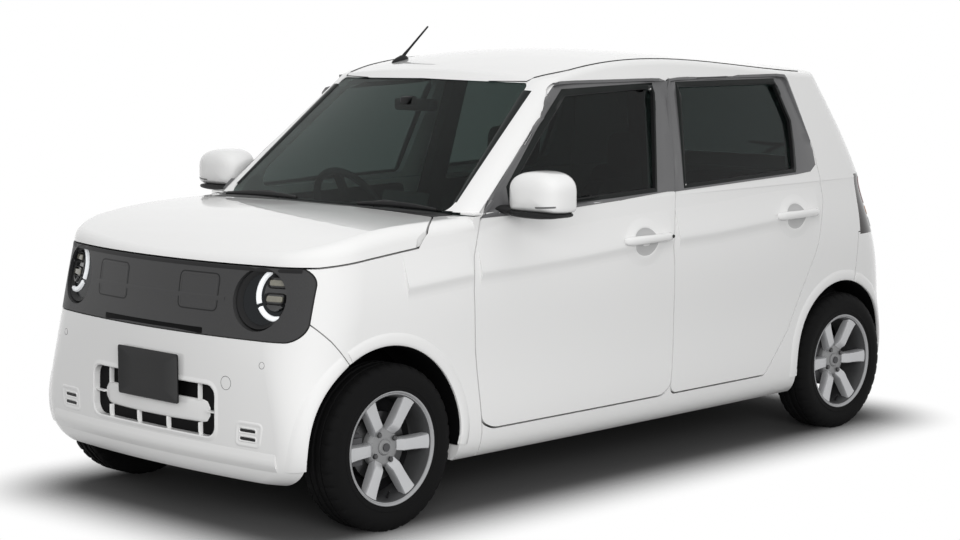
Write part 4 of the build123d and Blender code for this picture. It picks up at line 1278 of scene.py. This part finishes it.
# white to the eye, and darker below as a light on the car
world = bpy.data.worlds.new("room")
scene.world = world
world.use_nodes = True
room = world.node_tree
room.nodes.clear()
room_out = room.nodes.new("ShaderNodeOutputWorld")
backdrop = room.nodes.new("ShaderNodeBackground")
room_light = room.nodes.new("ShaderNodeBackground")
for ground in (backdrop, room_light):
    ground.inputs["Color"].default_value = (1, 1, 1, 1)
heading = room.nodes.new("ShaderNodeTexCoord")
heading_parts = room.nodes.new("ShaderNodeSeparateXYZ")
by_height = room.nodes.new("ShaderNodeMapRange")
set_inputs(by_height, {"From Min": ROOM_LOW_AT, "To Min": ROOM_LOW, "To Max": ROOM_LIGHT})
room.links.new(heading.outputs["Generated"], heading_parts.inputs["Vector"])
room.links.new(heading_parts.outputs["Z"], by_height.inputs["Value"])
room.links.new(by_height.outputs["Result"], room_light.inputs["Strength"])
rays = room.nodes.new("ShaderNodeLightPath")
seen = rays.outputs["Is Camera Ray"]
for kind in ("Is Glossy Ray", "Is Transmission Ray"):
    also = room.nodes.new("ShaderNodeMath")
    also.operation = "ADD"
    also.use_clamp = True
    room.links.new(seen, also.inputs[0])
    room.links.new(rays.outputs[kind], also.inputs[1])
    seen = also.outputs[0]
either = room.nodes.new("ShaderNodeMixShader")
room.links.new(seen, either.inputs["Fac"])
room.links.new(room_light.outputs[0], either.inputs[1])
room.links.new(backdrop.outputs[0], either.inputs[2])
room.links.new(either.outputs[0], room_out.inputs["Surface"])

for name, (wide, long), place, aim, power in LAMPS:
    lamp_data = bpy.data.lights.new(name, "AREA")
    lamp_data.shape = "RECTANGLE"
    lamp_data.size, lamp_data.size_y = wide, long
    lamp_data.energy = power
    soft_lamp = bpy.data.objects.new(name, lamp_data)
    soft_lamp.location = place
    soft_lamp.rotation_euler = (Vector(aim) - Vector(place)).to_track_quat("-Z", "Y").to_euler()
    soft_lamp.visible_glossy = False
    scene.collection.objects.link(soft_lamp)

# Floor: dark grey under the car, a painted shadow that also takes the real shadow, fading out into the white
# room
floor_maker = bmesh.new()
bmesh.ops.create_grid(floor_maker, x_segments=1, y_segments=1, size=FLOOR_HALF)
floor_mesh = bpy.data.meshes.new("floor")
floor_maker.to_mesh(floor_mesh)
floor_maker.free()
floor = bpy.data.objects.new("floor", floor_mesh)
scene.collection.objects.link(floor)
tree = new_material("floor")
floor_out = tree.nodes.new("ShaderNodeOutputMaterial")
floor_rays = tree.nodes.new("ShaderNodeLightPath")
surface = tree.nodes.new("ShaderNodeMixShader")
tree.links.new(floor_rays.outputs["Is Diffuse Ray"], surface.inputs["Fac"])
for socket, colour in ((1, FLOOR_PAINTED_SHADOW), (2, FLOOR_LIT)):
    dull = tree.nodes.new("ShaderNodeBsdfDiffuse")
    dull.inputs["Color"].default_value = colour
    tree.links.new(dull.outputs[0], surface.inputs[socket])
# distance from the middle block, over which the painted shadow fades out
away = tree.nodes.new("ShaderNodeTexCoord").outputs["Object"]
for operation in ("ABSOLUTE", "SUBTRACT", "MAXIMUM", "LENGTH"):
    step = tree.nodes.new("ShaderNodeVectorMath")
    step.operation = operation
    tree.links.new(away, step.inputs[0])
    if operation == "SUBTRACT":
        step.inputs[1].default_value = FLOOR_BLOCK
    away = step.outputs["Value" if operation == "LENGTH" else "Vector"]
painted_shadow_fade_share = tree.nodes.new("ShaderNodeMapRange")
painted_shadow_fade_share.interpolation_type = "SMOOTHSTEP"
set_inputs(painted_shadow_fade_share, {"From Min": PAINTED_SHADOW_FADE[0], "From Max": PAINTED_SHADOW_FADE[1]})
tree.links.new(away, painted_shadow_fade_share.inputs["Value"])
clear = tree.nodes.new("ShaderNodeBsdfTransparent")
fade = tree.nodes.new("ShaderNodeMixShader")
tree.links.new(painted_shadow_fade_share.outputs["Result"], fade.inputs["Fac"])
tree.links.new(surface.outputs[0], fade.inputs[1])
tree.links.new(clear.outputs[0], fade.inputs[2])
tree.links.new(fade.outputs[0], floor_out.inputs["Surface"])
floor_mesh.materials.append(FINISHES["floor"][0])
